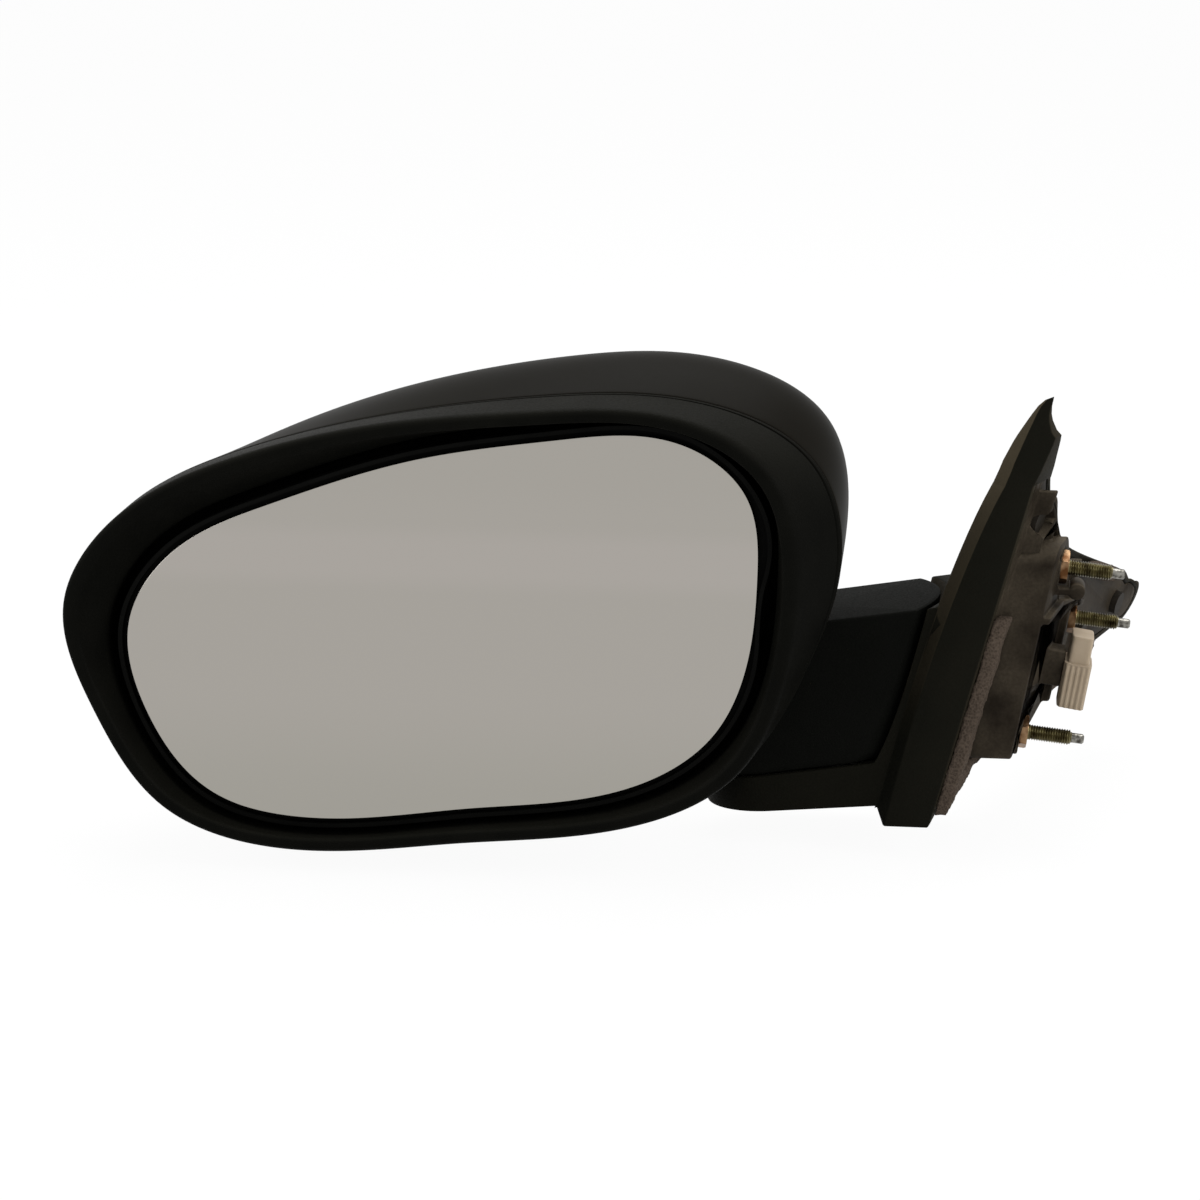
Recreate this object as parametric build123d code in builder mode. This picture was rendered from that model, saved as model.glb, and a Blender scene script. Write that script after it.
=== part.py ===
"""Left door mirror of a saloon car: folding head on a sail base, with an electric glass drive.

Frame: +X towards the door, +Y towards the front of the car, +Z up. The origin is the middle of
the circle of the three mounting studs, so the studs fasten the part where it stands.
"""
from build123d import *
from math import cos, hypot, radians, sin, tan
import os

os.makedirs("parts", exist_ok=True)

# ---------------------------------------------------------------- driving dimensions, mm
RUN = 0.4  # gap between pieces that move past each other
SEAM = 0.6  # gap along a visible seam between two covers
FIT = 0.3  # gap round a piece that drops into another
BORE_FIT = 0.05  # radial play of a shaft in its bore

# mounting studs, on a circle whose axis droops towards the door
STUD_R = 2.5
STUD_CIRCLE_R = 32.0
STUD_COUNT = 3
STUD_LENGTH = 20.5
STUD_ROOT = 7.0  # depth of each stud in the casting
STUD_SHANK_R = 3.1
STUD_TIP_R = 1.6
STUD_TIP_LENGTH = 4.0
STUD_COLLAR_R = 5.6
STUD_COLLAR_LENGTH = 2.5
STUD_DROOP = 6.0
STUD_SEATS = (-3.4, -9.9, -15.3)  # along the circle's axis: front, upper, lower

# sail: the plate against the door, seen from the side it is a flag with a front lobe
SAIL_REAR = -38.0
SAIL_TAPER = 20.0  # how far its plane turns inwards towards the front, degrees
SAIL_LEAN = 15.0  # how far its plane leans inwards towards the top, degrees
SAIL_FOOT = -53.0
SAIL_TIP = 87.0
SAIL_INNER_X = -32.0  # where the rim's plane crosses the rear edge, level with the studs
SAIL_LENGTH = 172.0
COVER_WALL = 2.6
GASKET_THICK = 4.0
GASKET_WIDTH = 6.0
GASKET_TOP = 16.0  # the strip runs below this height only
GASKET_FRONT = 70.0
SAIL_CHAMFER = 5.6  # of the rear outer edge, across the car
SAIL_CHAMFER_LENGTH = 7.0  # the same along the car

# casting behind the sail
PLATE_DEPTH = 5.0  # thickness of its flange inside the cover
DOME_X = -9.3  # where the dome's top face crosses the level of the studs, over the origin
DOME_LEAN = 0.192  # rise of the dome's top face towards the door, per mm up
DOME_TAPER = 0.185  # the same per mm forward
DOME_WALL = 3.5
RIB_THICK = 2.4
BOSS_FLOOR = 2.0
STUD_BOSS_R = STUD_COLLAR_R + 2
WEB_HEIGHT = 5.0  # of the upper ribs above the sail's inner plane
SPINE_GAP = 0.4
COVER_SCREW_HEAD_R = 4.0
COVER_SCREW_LENGTH = 9.0
COVER_BOSS = 20.0  # depth of the bosses that take these screws
KEY_AT = (-1.6, 21.2)  # the round locating boss, lying along the car
KEY_R = 2.7
KEY_FRONT = -10.0
KEY_LENGTH = 10.0
KEY_STALK = 9.0

# connector on the casting
PLUG_SIZE = (9.0, 14.0, 24.0)
PLUG_WALL = 1.6
PLUG_DEPTH = 13.0
PLUG_AT = (-0.5, 2.0, -9.5)
PLUG_TURN = 9.0
TERMINAL_SIZE = 0.8
PLUG_SEAT = (8.0, 9.0, 12.0)  # the block of the casting that carries it

# fold axis, at the arm's top face, leaning outwards at the top
FOLD_X = -75.0
FOLD_Y = -12.0
FOLD_Z = -35.0
FOLD_LEAN = 9.0
NECK_HALF = 22.0  # half the thickness of the neck and of the arm, front to rear
NECK_FOOT_R = 22.2
NECK_HEIGHT = 48.0
NECK_FLARE = 0.345  # growth of the neck's radius with height
NECK_GAP = 2.4
NECK_WALL = 2.6
ARM_REACH = 24.0  # from the fold axis to the middle of the arm's round end
ARM_DEEP = 10.4  # depth of the arm below the neck, at its round end
ARM_SLOPE = 0.068  # how much deeper it gets towards the sail, per mm
ARM_ROOT = 44.0  # from the fold axis to inside the sail
ARM_STOP = 12.0  # from its end, below the sail, to the sail's inner plane
POST_R = 7.0
POST_BORE_R = 4.0
POST_DROP = 6.0  # from the top of the neck to the end of the post
POST_FOOT = 6.0  # depth of the post in the casting
BOSS_R = 13.0
RING_R = 16.0
RING_TOP = 1.0
NOTCH_R = 2.8
BALL_SEAT_R = 2.4
DETENT_R = 2.2
DETENT_COUNT = 3
DETENT_CIRCLE_R = 12.2
FLANGE_R = 17.0
FLANGE_FOOT = 1.4
FLANGE_THICK = 4.0
HUB_R = 11.5
HUB_HEIGHT = 17.0
SPRING_OUT_R = 10.8
SPRING_IN_R = 8.0
SPRING_TOP = 34.0
WASHER_R = 10.8
WASHER_THICK = 1.6
CLIP_R = 9.5
CLIP_THICK = 1.5
CLIP_GROOVE = 0.8
RISER_FOOT = 4.4
RISER_REACH = 30.0
BEAM_WIDTH = 20.0
BEAM_SIDE = -2.0  # middle of the beam to the rear of the fold axis
BEAM_FOOT = 28.0
BEAM_HEIGHT = 14.0
BEAM_REACH = 58.0  # from the fold axis to the frame

# head: the outline of the rim, and how far each plane stands behind the other
RIM_Y = -78.0
SEAM_Y = -60.0
CROWN_Y = -30.0
NOSE_Y = 18.0
NOSE_POWER = 3.2  # how full the front of the head is
SHELL_WALL = 2.6
LIP_WIDTH = 4.2
LIP_THICK = 2.6
HEAD_MID = (-178.0, 20.0)

# glass
GLASS_Y = -69.0
GLASS_THICK = 2.1
PAD_THICK = 0.8
HOLDER_THICK = 2.6
HOLDER_LIP = 2.8
HOLDER_RIM = 1.3
GLASS_PLAY = 3.0  # from the holder to the bezel's inner wall
PIVOT_X = -196.0
PIVOT_Z = 15.0
PIVOT_DEPTH = 15.0  # pivot behind the glass's face
SCREW_ARM = 27.0  # from the pivot to each adjusting screw
BALL_R = 3.0
SOCKET_PLAY = 1.0

# adjusting drive
CASE_R = 42.0
CASE_BOLT_R = 36.0
CASE_WALL = 2.0
MOTOR_R = 7.5
MOTOR_LENGTH = 20.0
GEAR_R = 9.5
GEAR_THICK = 5.0
GEAR_TEETH = 24
JACK_R = 2.6
JACK_LENGTH = 21.0
TRUNNION_R = 3.0
TRUNNION_LENGTH = 15.0  # from the pivot to the end of each pin
GIMBAL_HALF = 7.0
LUG_R = 5.2
LUG_IN = 9.0
LUG_OUT = 14.0
CUP_WALL = 1.3
WORM_R = 2.2
WORM_LENGTH = 20.0
GEAR_HUB_R = 4.6

# head frame and screws
FRAME_Y = -20.6
FRAME_THICK = 3.0
FRAME_MID = (-191.0, 15.0)
FRAME_SIZE = (134.0, 84.0)
FRAME_CORNER = 18.0
FRAME_BOSS_R = 4.5
SCREW_R = 1.9
SCREW_HEAD_R = 3.6
SCREW_HEAD = 2.2
SCREW_LENGTH = 10.0
SWEEP_Y = -48.0  # the bezel's inner wall is straight to here, clear of the tilting glass
BACK_Y = -45.0  # rear face of the bezel's bulkhead
WELL_WALL = 1.6

pivot_y = GLASS_Y + PIVOT_DEPTH
case_y = pivot_y + 8.0  # rear face of the drive's cover
frame_bolts = [(-247, 38), (-247, -12), (-134, 46), (-134, -14)]

# ---------------------------------------------------------------- planes and outlines
droop = radians(STUD_DROOP)
stud_plane = Plane(origin=(0, 0, 0), x_dir=(0, 1, 0), z_dir=(cos(droop), 0, -sin(droop)))
lean = radians(FOLD_LEAN)
fold_axis = (-sin(lean), 0, cos(lean))
fold_foot = (FOLD_X, FOLD_Y, FOLD_Z)
fold_plane = Plane(origin=fold_foot, x_dir=(cos(lean), 0, sin(lean)), z_dir=fold_axis)
arm_plane = Plane(origin=fold_foot, x_dir=(cos(lean), 0, sin(lean)), z_dir=(0, -1, 0))
stud_places = [
    Plane(stud_plane.location * Pos(spot.position.X, spot.position.Y, seat))
    for spot, seat in zip(PolarLocations(STUD_CIRCLE_R, STUD_COUNT).locations, STUD_SEATS)
]
taper = tan(radians(SAIL_TAPER))
tumble = tan(radians(SAIL_LEAN))


def sail_x(y, z):
    """X of the sail's inner plane at a place along the car and a height."""
    return SAIL_INNER_X + tumble * z + taper * (y - SAIL_REAR)


def grown(points, amount):
    """A closed outline moved outwards by an amount, with mitred corners."""
    moved = []
    for i, (x, z) in enumerate(points):
        (x0, z0), (x1, z1) = points[i - 1], points[(i + 1) % len(points)]
        back, on = hypot(x - x0, z - z0), hypot(x1 - x, z1 - z)
        ax, az = (z - z0) / back, (x0 - x) / back
        bx, bz = (z1 - z) / on, (x - x1) / on
        reach = amount / (1 + ax * bx + az * bz)
        moved.append((x + reach * (ax + bx), z + reach * (az + bz)))
    return moved


def shrunk(points, share):
    """A closed outline drawn towards the middle of the head."""
    mx, mz = HEAD_MID
    return [(mx + (x - mx) * share, mz + (z - mz) * share) for x, z in points]


# outlines seen from behind the car, from the inboard side over the top and round
rim = [
    (-86.3, 36), (-93.5, 67), (-120, 84.5), (-165, 86.5), (-214, 81.5), (-262, 69), (-297, 50),
    (-314.5, 22), (-306, -12), (-285, -42.5), (-246, -55), (-190, -51), (-134, -43), (-104, -26), (-89, 8),
]
seam = [
    (-74, 36), (-81, 68), (-115, 87), (-160, 88.7), (-213, 81.5), (-262, 68.5), (-297, 50),
    (-314.5, 22), (-306, -13), (-285, -44), (-246, -58.5), (-190, -54.5), (-134, -45), (-102, -26), (-83, 6),
]
crown = [
    (-74, 38), (-78, 78), (-108, 96), (-160, 97), (-210, 87), (-258, 69), (-290, 48),
    (-308, 20), (-303, -14), (-283, -46), (-244, -59), (-190, -56), (-142, -46.5), (-110, -29), (-87, 4),
]
glass = [
    (-98.8, 34), (-102.5, 60), (-122, 75.5), (-160, 76.2), (-204, 69), (-251, 53.5), (-281, 38),
    (-295.8, 15), (-290.8, -14.6), (-272, -39), (-238, -47.4), (-188.5, -42.4), (-136, -33), (-112, -16),
    (-101.5, 8),
]


def outline(points, y):
    """A face on the plane Y = y with a smooth closed outline."""
    with BuildSketch(Plane.XZ.offset(-y)) as face:
        with BuildLine():
            Spline(*points, periodic=True)
        make_face()
    return face.sketch


def mixed(first, second, share):
    """An outline part of the way from one closed outline to another."""
    return [(a + (c - a) * share, b + (d - b) * share) for (a, b), (c, d) in zip(first, second)]


def head_sections(inset):
    """The head's cross-sections from the seam to the nose, drawn in by a wall.

    The outline swells from the seam to the crown, while a rounded profile closes it at the nose.
    """
    depth = NOSE_Y - inset - SEAM_Y
    faces = []
    for share in (0, 0.13, 0.26, 0.4, 0.55, 0.7, 0.83, 0.93, 0.985):
        swell = sin(radians(90) * min(1, share * depth / (CROWN_Y - SEAM_Y)))
        size = (1 - share**NOSE_POWER) ** (1 / 2.2)
        points = shrunk(mixed(grown(seam, -inset), grown(crown, -inset), swell), size)
        faces.append(outline(points, SEAM_Y + depth * share))
    return faces


def save(piece, name):
    """Label a finished piece and write it as its own file."""
    piece.part.label = name
    export_step(piece.part, f"parts/{name}.step")


# ---------------------------------------------------------------- neck and arm, round the fold axis
def neck_radius(height):
    """Radius of the neck's round end at a height above the arm's top face."""
    return NECK_FOOT_R + NECK_FLARE * height


def cone(low, high, extra):
    """A cone round the fold axis, outside the neck's end by an extra gap."""
    with BuildPart() as body:
        for height in (low, high):
            with BuildSketch(fold_plane.offset(height)):
                Circle(neck_radius(height) + extra)
        loft()
    return body.part


def ring(plane, low, high, outer, inner=0):
    """A plain ring or bush between two heights on a plane's axis."""
    with BuildPart() as body:
        with BuildSketch(plane.offset(low)):
            Circle(outer)
            if inner:
                Circle(inner, mode=Mode.SUBTRACT)
        extrude(amount=high - low)
    return body.part


def neck_solid(inset):
    """The neck's outer shape drawn in by a wall, with a round end inside the head."""
    low, high = SEAM + inset, NECK_HEIGHT - inset
    half = NECK_HALF - inset
    with BuildPart() as body:
        add(cone(low, high, -inset))
        with BuildSketch(fold_plane.offset(low)):
            Rectangle(ARM_REACH, 2 * half, align=(Align.MAX, Align.CENTER))
            with Locations((-ARM_REACH, 0)):
                Circle(half)
        extrude(amount=high - low)
        with BuildSketch(fold_plane.offset(low)):
            Rectangle(4 * NECK_HEIGHT, 2 * half)
        extrude(amount=high - low, mode=Mode.INTERSECT)
    return body.part


def beam(root, foot, reach, gap):
    """A bar of the head's frame out from its hub, with a gap round it."""
    with BuildPart() as bar:
        with BuildSketch(fold_plane.offset(foot - gap)):
            with Locations((-root, BEAM_SIDE)):
                Rectangle(reach - root, BEAM_WIDTH + 2 * gap, align=(Align.MAX, Align.CENTER))
        extrude(amount=BEAM_FOOT + BEAM_HEIGHT - foot + 2 * gap)
    return bar.part


def arm_solid(inset):
    """The arm under the neck and beside it, drawn in by a wall."""
    half = NECK_HALF - inset
    end = ARM_REACH + NECK_HALF
    foot = -ARM_DEEP + inset
    with BuildPart() as body:
        with BuildSketch(fold_plane.offset(-NECK_HEIGHT)):
            with Locations((-ARM_REACH, 0)):
                Circle(half)
                Rectangle(ARM_REACH + ARM_ROOT, 2 * half, align=(Align.MIN, Align.CENTER))
        extrude(amount=2 * NECK_HEIGHT)
        with BuildSketch(arm_plane):
            with BuildLine():
                Polyline(
                    (-end, foot),
                    (ARM_ROOT, foot - ARM_SLOPE * (ARM_ROOT + end)),
                    (ARM_ROOT, NECK_HEIGHT + SEAM - inset),
                    (0, NECK_HEIGHT + SEAM - inset),
                    (0, -inset),
                    (-end, -inset),
                    close=True,
                )
            make_face()
        extrude(amount=2 * NECK_HALF, both=True, mode=Mode.INTERSECT)
        add(cone(-inset, NECK_HEIGHT + 2 * SEAM, NECK_GAP + inset), mode=Mode.SUBTRACT)
    return body.part


# ---------------------------------------------------------------- head covers
holder = grown(glass, HOLDER_LIP)
opening = grown(holder, GLASS_PLAY)
mouth = grown(rim, -LIP_WIDTH)
bulkhead = grown(glass, 2.0)
opening_y = GLASS_Y + HOLDER_THICK
wells = [(mouth, RIM_Y), (opening, opening_y), (opening, SWEEP_Y), (bulkhead, BACK_Y)]

with BuildPart() as bezel:
    loft(sections=[outline(rim, RIM_Y), outline(seam, SEAM_Y - SEAM)])
    loft(
        sections=[outline(grown(rim, -SHELL_WALL), RIM_Y + LIP_THICK), outline(grown(seam, -SHELL_WALL), SEAM_Y)],
        mode=Mode.SUBTRACT,
    )
    for (near, near_y), (far, far_y) in zip(wells, wells[1:]):
        loft(sections=[outline(grown(near, WELL_WALL), near_y), outline(grown(far, WELL_WALL), far_y)])
    extrude(outline(grown(bulkhead, WELL_WALL), BACK_Y), amount=-SHELL_WALL)
    for (near, near_y), (far, far_y) in zip(wells, wells[1:]):
        loft(sections=[outline(near, near_y), outline(far, far_y)], mode=Mode.SUBTRACT)
    with BuildSketch(Plane.XZ.offset(-BACK_Y)):
        with Locations((PIVOT_X, PIVOT_Z)):
            Circle(CASE_R + RUN)
        with Locations(*frame_bolts):
            Circle(SCREW_R + FIT)
    extrude(amount=-SHELL_WALL, mode=Mode.SUBTRACT)
save(bezel, "bezel")

with BuildPart() as cap:
    loft(sections=head_sections(0))
    loft(sections=head_sections(SHELL_WALL), mode=Mode.SUBTRACT)
    add(neck_solid(-SEAM), mode=Mode.SUBTRACT)
save(cap, "cap")

with BuildPart() as neck_cover:
    add(neck_solid(0))
    add(neck_solid(NECK_WALL), mode=Mode.SUBTRACT)
    add(beam(RISER_REACH, BEAM_FOOT, BEAM_REACH, FIT), mode=Mode.SUBTRACT)
    with BuildSketch(fold_plane):
        Circle(FLANGE_R + RUN)
    extrude(amount=2 * NECK_WALL, mode=Mode.SUBTRACT)
save(neck_cover, "neck_cover")

# ---------------------------------------------------------------- head frame and fold joint
case_bolts = [
    (PIVOT_X + CASE_BOLT_R * cos(radians(a)), PIVOT_Z + CASE_BOLT_R * sin(radians(a))) for a in (110, 180, 325)
]
ball_places = PolarLocations(DETENT_CIRCLE_R, DETENT_COUNT).locations
ball_height = RING_TOP + RUN + DETENT_R
frame_face = FRAME_Y - FRAME_THICK
boss_end = BACK_Y + SHELL_WALL + FIT

with BuildPart() as head_frame:
    with BuildSketch(Plane.XZ.offset(-FRAME_Y)):
        with Locations(FRAME_MID):
            RectangleRounded(*FRAME_SIZE, FRAME_CORNER)
    extrude(amount=FRAME_THICK)
    with BuildSketch(Plane.XZ.offset(-frame_face)):
        with Locations(*frame_bolts):
            Circle(FRAME_BOSS_R)
    extrude(amount=frame_face - boss_end)
    add(neck_solid(-FIT), mode=Mode.SUBTRACT)
    add(ring(fold_plane, FLANGE_FOOT, FLANGE_FOOT + FLANGE_THICK, FLANGE_R))
    add(ring(fold_plane, FLANGE_FOOT, FLANGE_FOOT + HUB_HEIGHT, HUB_R))
    add(beam(HUB_R - FIT, RISER_FOOT, RISER_REACH, 0))
    add(beam(HUB_R - FIT, BEAM_FOOT, BEAM_REACH, 0))
    with BuildSketch(Plane.XZ.offset(-boss_end)):
        with Locations(*frame_bolts):
            Circle(SCREW_R)
    extrude(amount=-SCREW_LENGTH, mode=Mode.SUBTRACT)
    with BuildSketch(Plane.XZ.offset(-FRAME_Y)):
        with Locations(*case_bolts):
            Circle(SCREW_R + FIT)
    extrude(amount=FRAME_THICK, mode=Mode.SUBTRACT)
    with BuildSketch(fold_plane):
        Circle(POST_R + BORE_FIT)
    extrude(amount=NECK_HEIGHT, mode=Mode.SUBTRACT)
    for place in ball_places:
        with Locations(fold_plane.location * Pos(place.position.X, place.position.Y, ball_height)):
            Sphere(BALL_SEAT_R, mode=Mode.SUBTRACT)
save(head_frame, "head_frame")

with BuildPart() as detent_balls:
    for place in ball_places:
        with Locations(fold_plane.location * Pos(place.position.X, place.position.Y, ball_height)):
            Sphere(DETENT_R)
save(detent_balls, "detent_balls")

with BuildPart() as detent_ring:
    add(ring(fold_plane, -COVER_WALL - FIT, RING_TOP, RING_R, POST_R + FIT))
    for place in ball_places:
        with Locations(fold_plane.location * Pos(place.position.X, place.position.Y, ball_height)):
            Sphere(NOTCH_R, mode=Mode.SUBTRACT)
save(detent_ring, "detent_ring")

spring_foot = FLANGE_FOOT + HUB_HEIGHT
with BuildPart() as fold_spring:
    add(ring(fold_plane, spring_foot, SPRING_TOP, SPRING_OUT_R, SPRING_IN_R))
save(fold_spring, "fold_spring")

with BuildPart() as spring_washer:
    add(ring(fold_plane, SPRING_TOP + RUN, SPRING_TOP + RUN + WASHER_THICK, WASHER_R, POST_R + BORE_FIT))
save(spring_washer, "spring_washer")

clip_foot = SPRING_TOP + RUN + WASHER_THICK
with BuildPart() as post_clip:
    add(ring(fold_plane, clip_foot, clip_foot + CLIP_THICK, CLIP_R, POST_R - CLIP_GROOVE))
    with BuildSketch(fold_plane.offset(clip_foot)):
        Rectangle(CLIP_R, CLIP_R / 2, align=(Align.MIN, Align.CENTER))
    extrude(amount=CLIP_THICK, mode=Mode.SUBTRACT)
save(post_clip, "post_clip")

with BuildPart() as fold_post:
    add(ring(fold_plane, -POST_FOOT, NECK_HEIGHT - POST_DROP, POST_R, POST_BORE_R))
    add(ring(fold_plane, clip_foot, clip_foot + CLIP_THICK, POST_R + 1, POST_R - CLIP_GROOVE), mode=Mode.SUBTRACT)
save(fold_post, "fold_post")

# ---------------------------------------------------------------- sail cover and its arm
flag_points = [
    (SAIL_REAR, SAIL_FOOT), (-24, -37), (76, -22), (114, -20), (121, -12), (104, -2),
    (66, 11), (30, 23), (1, 36), (-23, 59), (SAIL_REAR, SAIL_TIP),
]
sail_back = [(-68, -62), (-52.5, 0), (-41, 34.5), (-31.6, 56.7), (-21.3, 74), (-9.5, 88)]
forward = (sin(radians(SAIL_TAPER)), cos(radians(SAIL_TAPER)), 0)
inward = Plane(origin=(0, 0, 0), x_dir=forward, z_dir=Vector(*forward).cross(Vector(tumble, 0, 1))).z_dir


def sail_plane(depth):
    """The sail's inner plane moved towards the door by a depth."""
    return Plane(origin=Vector(SAIL_INNER_X, SAIL_REAR, 0) + inward * depth, x_dir=forward, z_dir=inward)


def flag(inset):
    """The sail seen from the side, drawn in by a margin."""
    foot, heel, low, chin, nose, *top = grown(flag_points, -inset)
    with BuildSketch(Plane.YZ.offset(-120)) as face:
        with BuildLine():
            Polyline(top[-1], foot, heel, low, chin)
            ThreePointArc(chin, nose, top[0])
            Spline(*top)
        make_face()
    return face.sketch


def slab(inset, low, high):
    """A plate with the flag's outline between two depths from the sail's inner plane."""
    with BuildPart() as body:
        with BuildSketch(sail_plane(low)):
            Rectangle(600, 600)
        extrude(amount=high - low)
        extrude(flag(inset), amount=240, mode=Mode.INTERSECT)
    return body.part


def sail_profile(outside, inside):
    """The sail's section at its rear edge, moved out on one side and in on the other."""
    low_z, high_z = sail_back[0][1], sail_back[-1][1]
    with BuildSketch(Plane.XZ.offset(-SAIL_REAR)) as face:
        with BuildLine():
            outer = Spline(*[(x + outside, z) for x, z in sail_back])
            Polyline(
                outer @ 1,
                (sail_x(SAIL_REAR, high_z) + inside, high_z),
                (sail_x(SAIL_REAR, low_z) + inside, low_z),
                outer @ 0,
            )
        make_face()
    return face.sketch


def sail_solid(inset, open_side):
    """The sail between its inner plane and its bulging outer face, drawn in by a wall."""
    outside = inset / cos(radians(2 * SAIL_LEAN))
    chamfer_way = (-SAIL_CHAMFER, SAIL_CHAMFER_LENGTH, 0)
    with BuildPart() as body:
        extrude(sail_profile(outside, open_side), amount=SAIL_LENGTH, dir=forward)
        extrude(
            sail_profile(outside + SAIL_CHAMFER, 4 * SAIL_LENGTH),
            amount=2 * SAIL_LENGTH,
            dir=chamfer_way,
            mode=Mode.INTERSECT,
        )
        extrude(flag(inset), amount=240, mode=Mode.INTERSECT)
    return body.part


def sail_spot(y, z):
    """A plane on the sail's inner face, looking towards the door."""
    return Plane(origin=(sail_x(y, z), y, z), x_dir=forward, z_dir=inward)


cover_bolts = [(58, -12), (92, -9), (-27, 46)]
pocket_top = NECK_HEIGHT + 2 * SEAM

with BuildPart() as arm_core:
    add(arm_solid(COVER_WALL))
    split(bisect_by=sail_plane(-ARM_STOP - COVER_WALL), keep=Keep.BOTTOM)
    add(arm_solid(COVER_WALL) & slab(COVER_WALL, -2 * NECK_HEIGHT, GASKET_THICK))

with BuildPart() as sail_cover:
    add(arm_solid(0))
    split(bisect_by=sail_plane(-ARM_STOP), keep=Keep.BOTTOM)
    add(sail_solid(0, 0))
    add(
        sail_solid(COVER_WALL, NECK_HEIGHT) - cone(-COVER_WALL, pocket_top, NECK_GAP + COVER_WALL),
        mode=Mode.SUBTRACT,
    )
    add(arm_core.part, mode=Mode.SUBTRACT)
    for spot in cover_bolts:
        boss = ring(sail_spot(*spot), -COVER_BOSS, -PLATE_DEPTH - FIT, COVER_SCREW_HEAD_R)
        add(boss & sail_solid(COVER_WALL / 2, NECK_HEIGHT))
        add(ring(sail_spot(*spot), -COVER_SCREW_LENGTH, 0, SCREW_R), mode=Mode.SUBTRACT)
    add(cone(0, pocket_top, NECK_GAP), mode=Mode.SUBTRACT)
    with BuildSketch(fold_plane.offset(-COVER_WALL)):
        Circle(RING_R + FIT)
    extrude(amount=2 * COVER_WALL, mode=Mode.SUBTRACT)
save(sail_cover, "sail_cover")

with BuildPart() as door_gasket:
    add(slab(COVER_WALL / 2, 0, GASKET_THICK))
    add(slab(GASKET_WIDTH, -1, GASKET_THICK + 1), mode=Mode.SUBTRACT)
    split(bisect_by=Plane(origin=(0, 0, GASKET_TOP), z_dir=(0, 0, 1)), keep=Keep.BOTTOM)
    split(bisect_by=Plane(origin=(0, GASKET_FRONT, 0), z_dir=(0, 1, 0)), keep=Keep.BOTTOM)
    for place in stud_places:
        add(ring(place, -STUD_ROOT - BOSS_FLOOR - FIT, STUD_LENGTH, STUD_BOSS_R + FIT), mode=Mode.SUBTRACT)
save(door_gasket, "door_gasket")

# ---------------------------------------------------------------- casting, studs and connector
dome_points = [(-31, -33), (2, -33), (40, -24), (48, 6), (4, 29), (-14, 38), (-31, 38)]
dome_plane = Plane(origin=(DOME_X, 0, 0), x_dir=(0, 1, 0), z_dir=(1, -DOME_TAPER, -DOME_LEAN))
web_ribs = [
    ((-30, 36), (-30, 56)), ((-29, 53), (-7, 33)), ((-30, 40), (-20, 46)), ((-21, 36), (-21, 46)),
]
dome_ribs = [((-30, 14), (-6, 14)), ((14, -24), (14, 24)), ((-6, 14), (46, 2))]


def rib(start, end, low, high):
    """A thin upright wall along a line seen from the side of the car, between two depths in X."""
    with BuildPart() as wall:
        with BuildSketch(Plane.YZ.offset(low)):
            with BuildLine():
                Line(start, end)
            trace(line_width=RIB_THICK)
        extrude(amount=high - low)
    return wall.part


with BuildPart() as dome:
    with BuildSketch(Plane.YZ.offset(-60)):
        Polygon(*dome_points, align=None)
        fillet(vertices(), 6)
    extrude(amount=100)
    extrude(flag(GASKET_WIDTH + FIT), amount=240, mode=Mode.INTERSECT)
    split(bisect_by=dome_plane, keep=Keep.BOTTOM)
    split(bisect_by=sail_plane(-PLATE_DEPTH), keep=Keep.TOP)

with BuildPart() as core:
    with BuildSketch(Plane.YZ.offset(-60)):
        Polygon(*grown(dome_points, -DOME_WALL), align=None)
        fillet(vertices(), 4)
    extrude(amount=100)
    split(bisect_by=dome_plane.offset(-DOME_WALL), keep=Keep.BOTTOM)
    split(bisect_by=sail_plane(-2 * PLATE_DEPTH), keep=Keep.TOP)

with BuildPart() as stud_bosses:
    for place in stud_places:
        add(ring(place, -STUD_ROOT - BOSS_FLOOR, 0, STUD_BOSS_R))

with BuildPart() as dome_grid:
    for start, end in dome_ribs:
        add(rib(start, end, -60, 40))
    split(bisect_by=dome_plane.offset(RIB_THICK), keep=Keep.BOTTOM)
    split(bisect_by=sail_plane(0), keep=Keep.TOP)

spine_gap = COVER_WALL + SPINE_GAP
with BuildPart() as spine:
    add(arm_solid(spine_gap))
    split(bisect_by=sail_plane(-ARM_STOP - spine_gap), keep=Keep.BOTTOM)
    add(arm_solid(spine_gap) & slab(spine_gap, -2 * NECK_HEIGHT, 0))

plug_plane = Plane(PLUG_AT).rotated((0, PLUG_TURN, 0))

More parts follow.
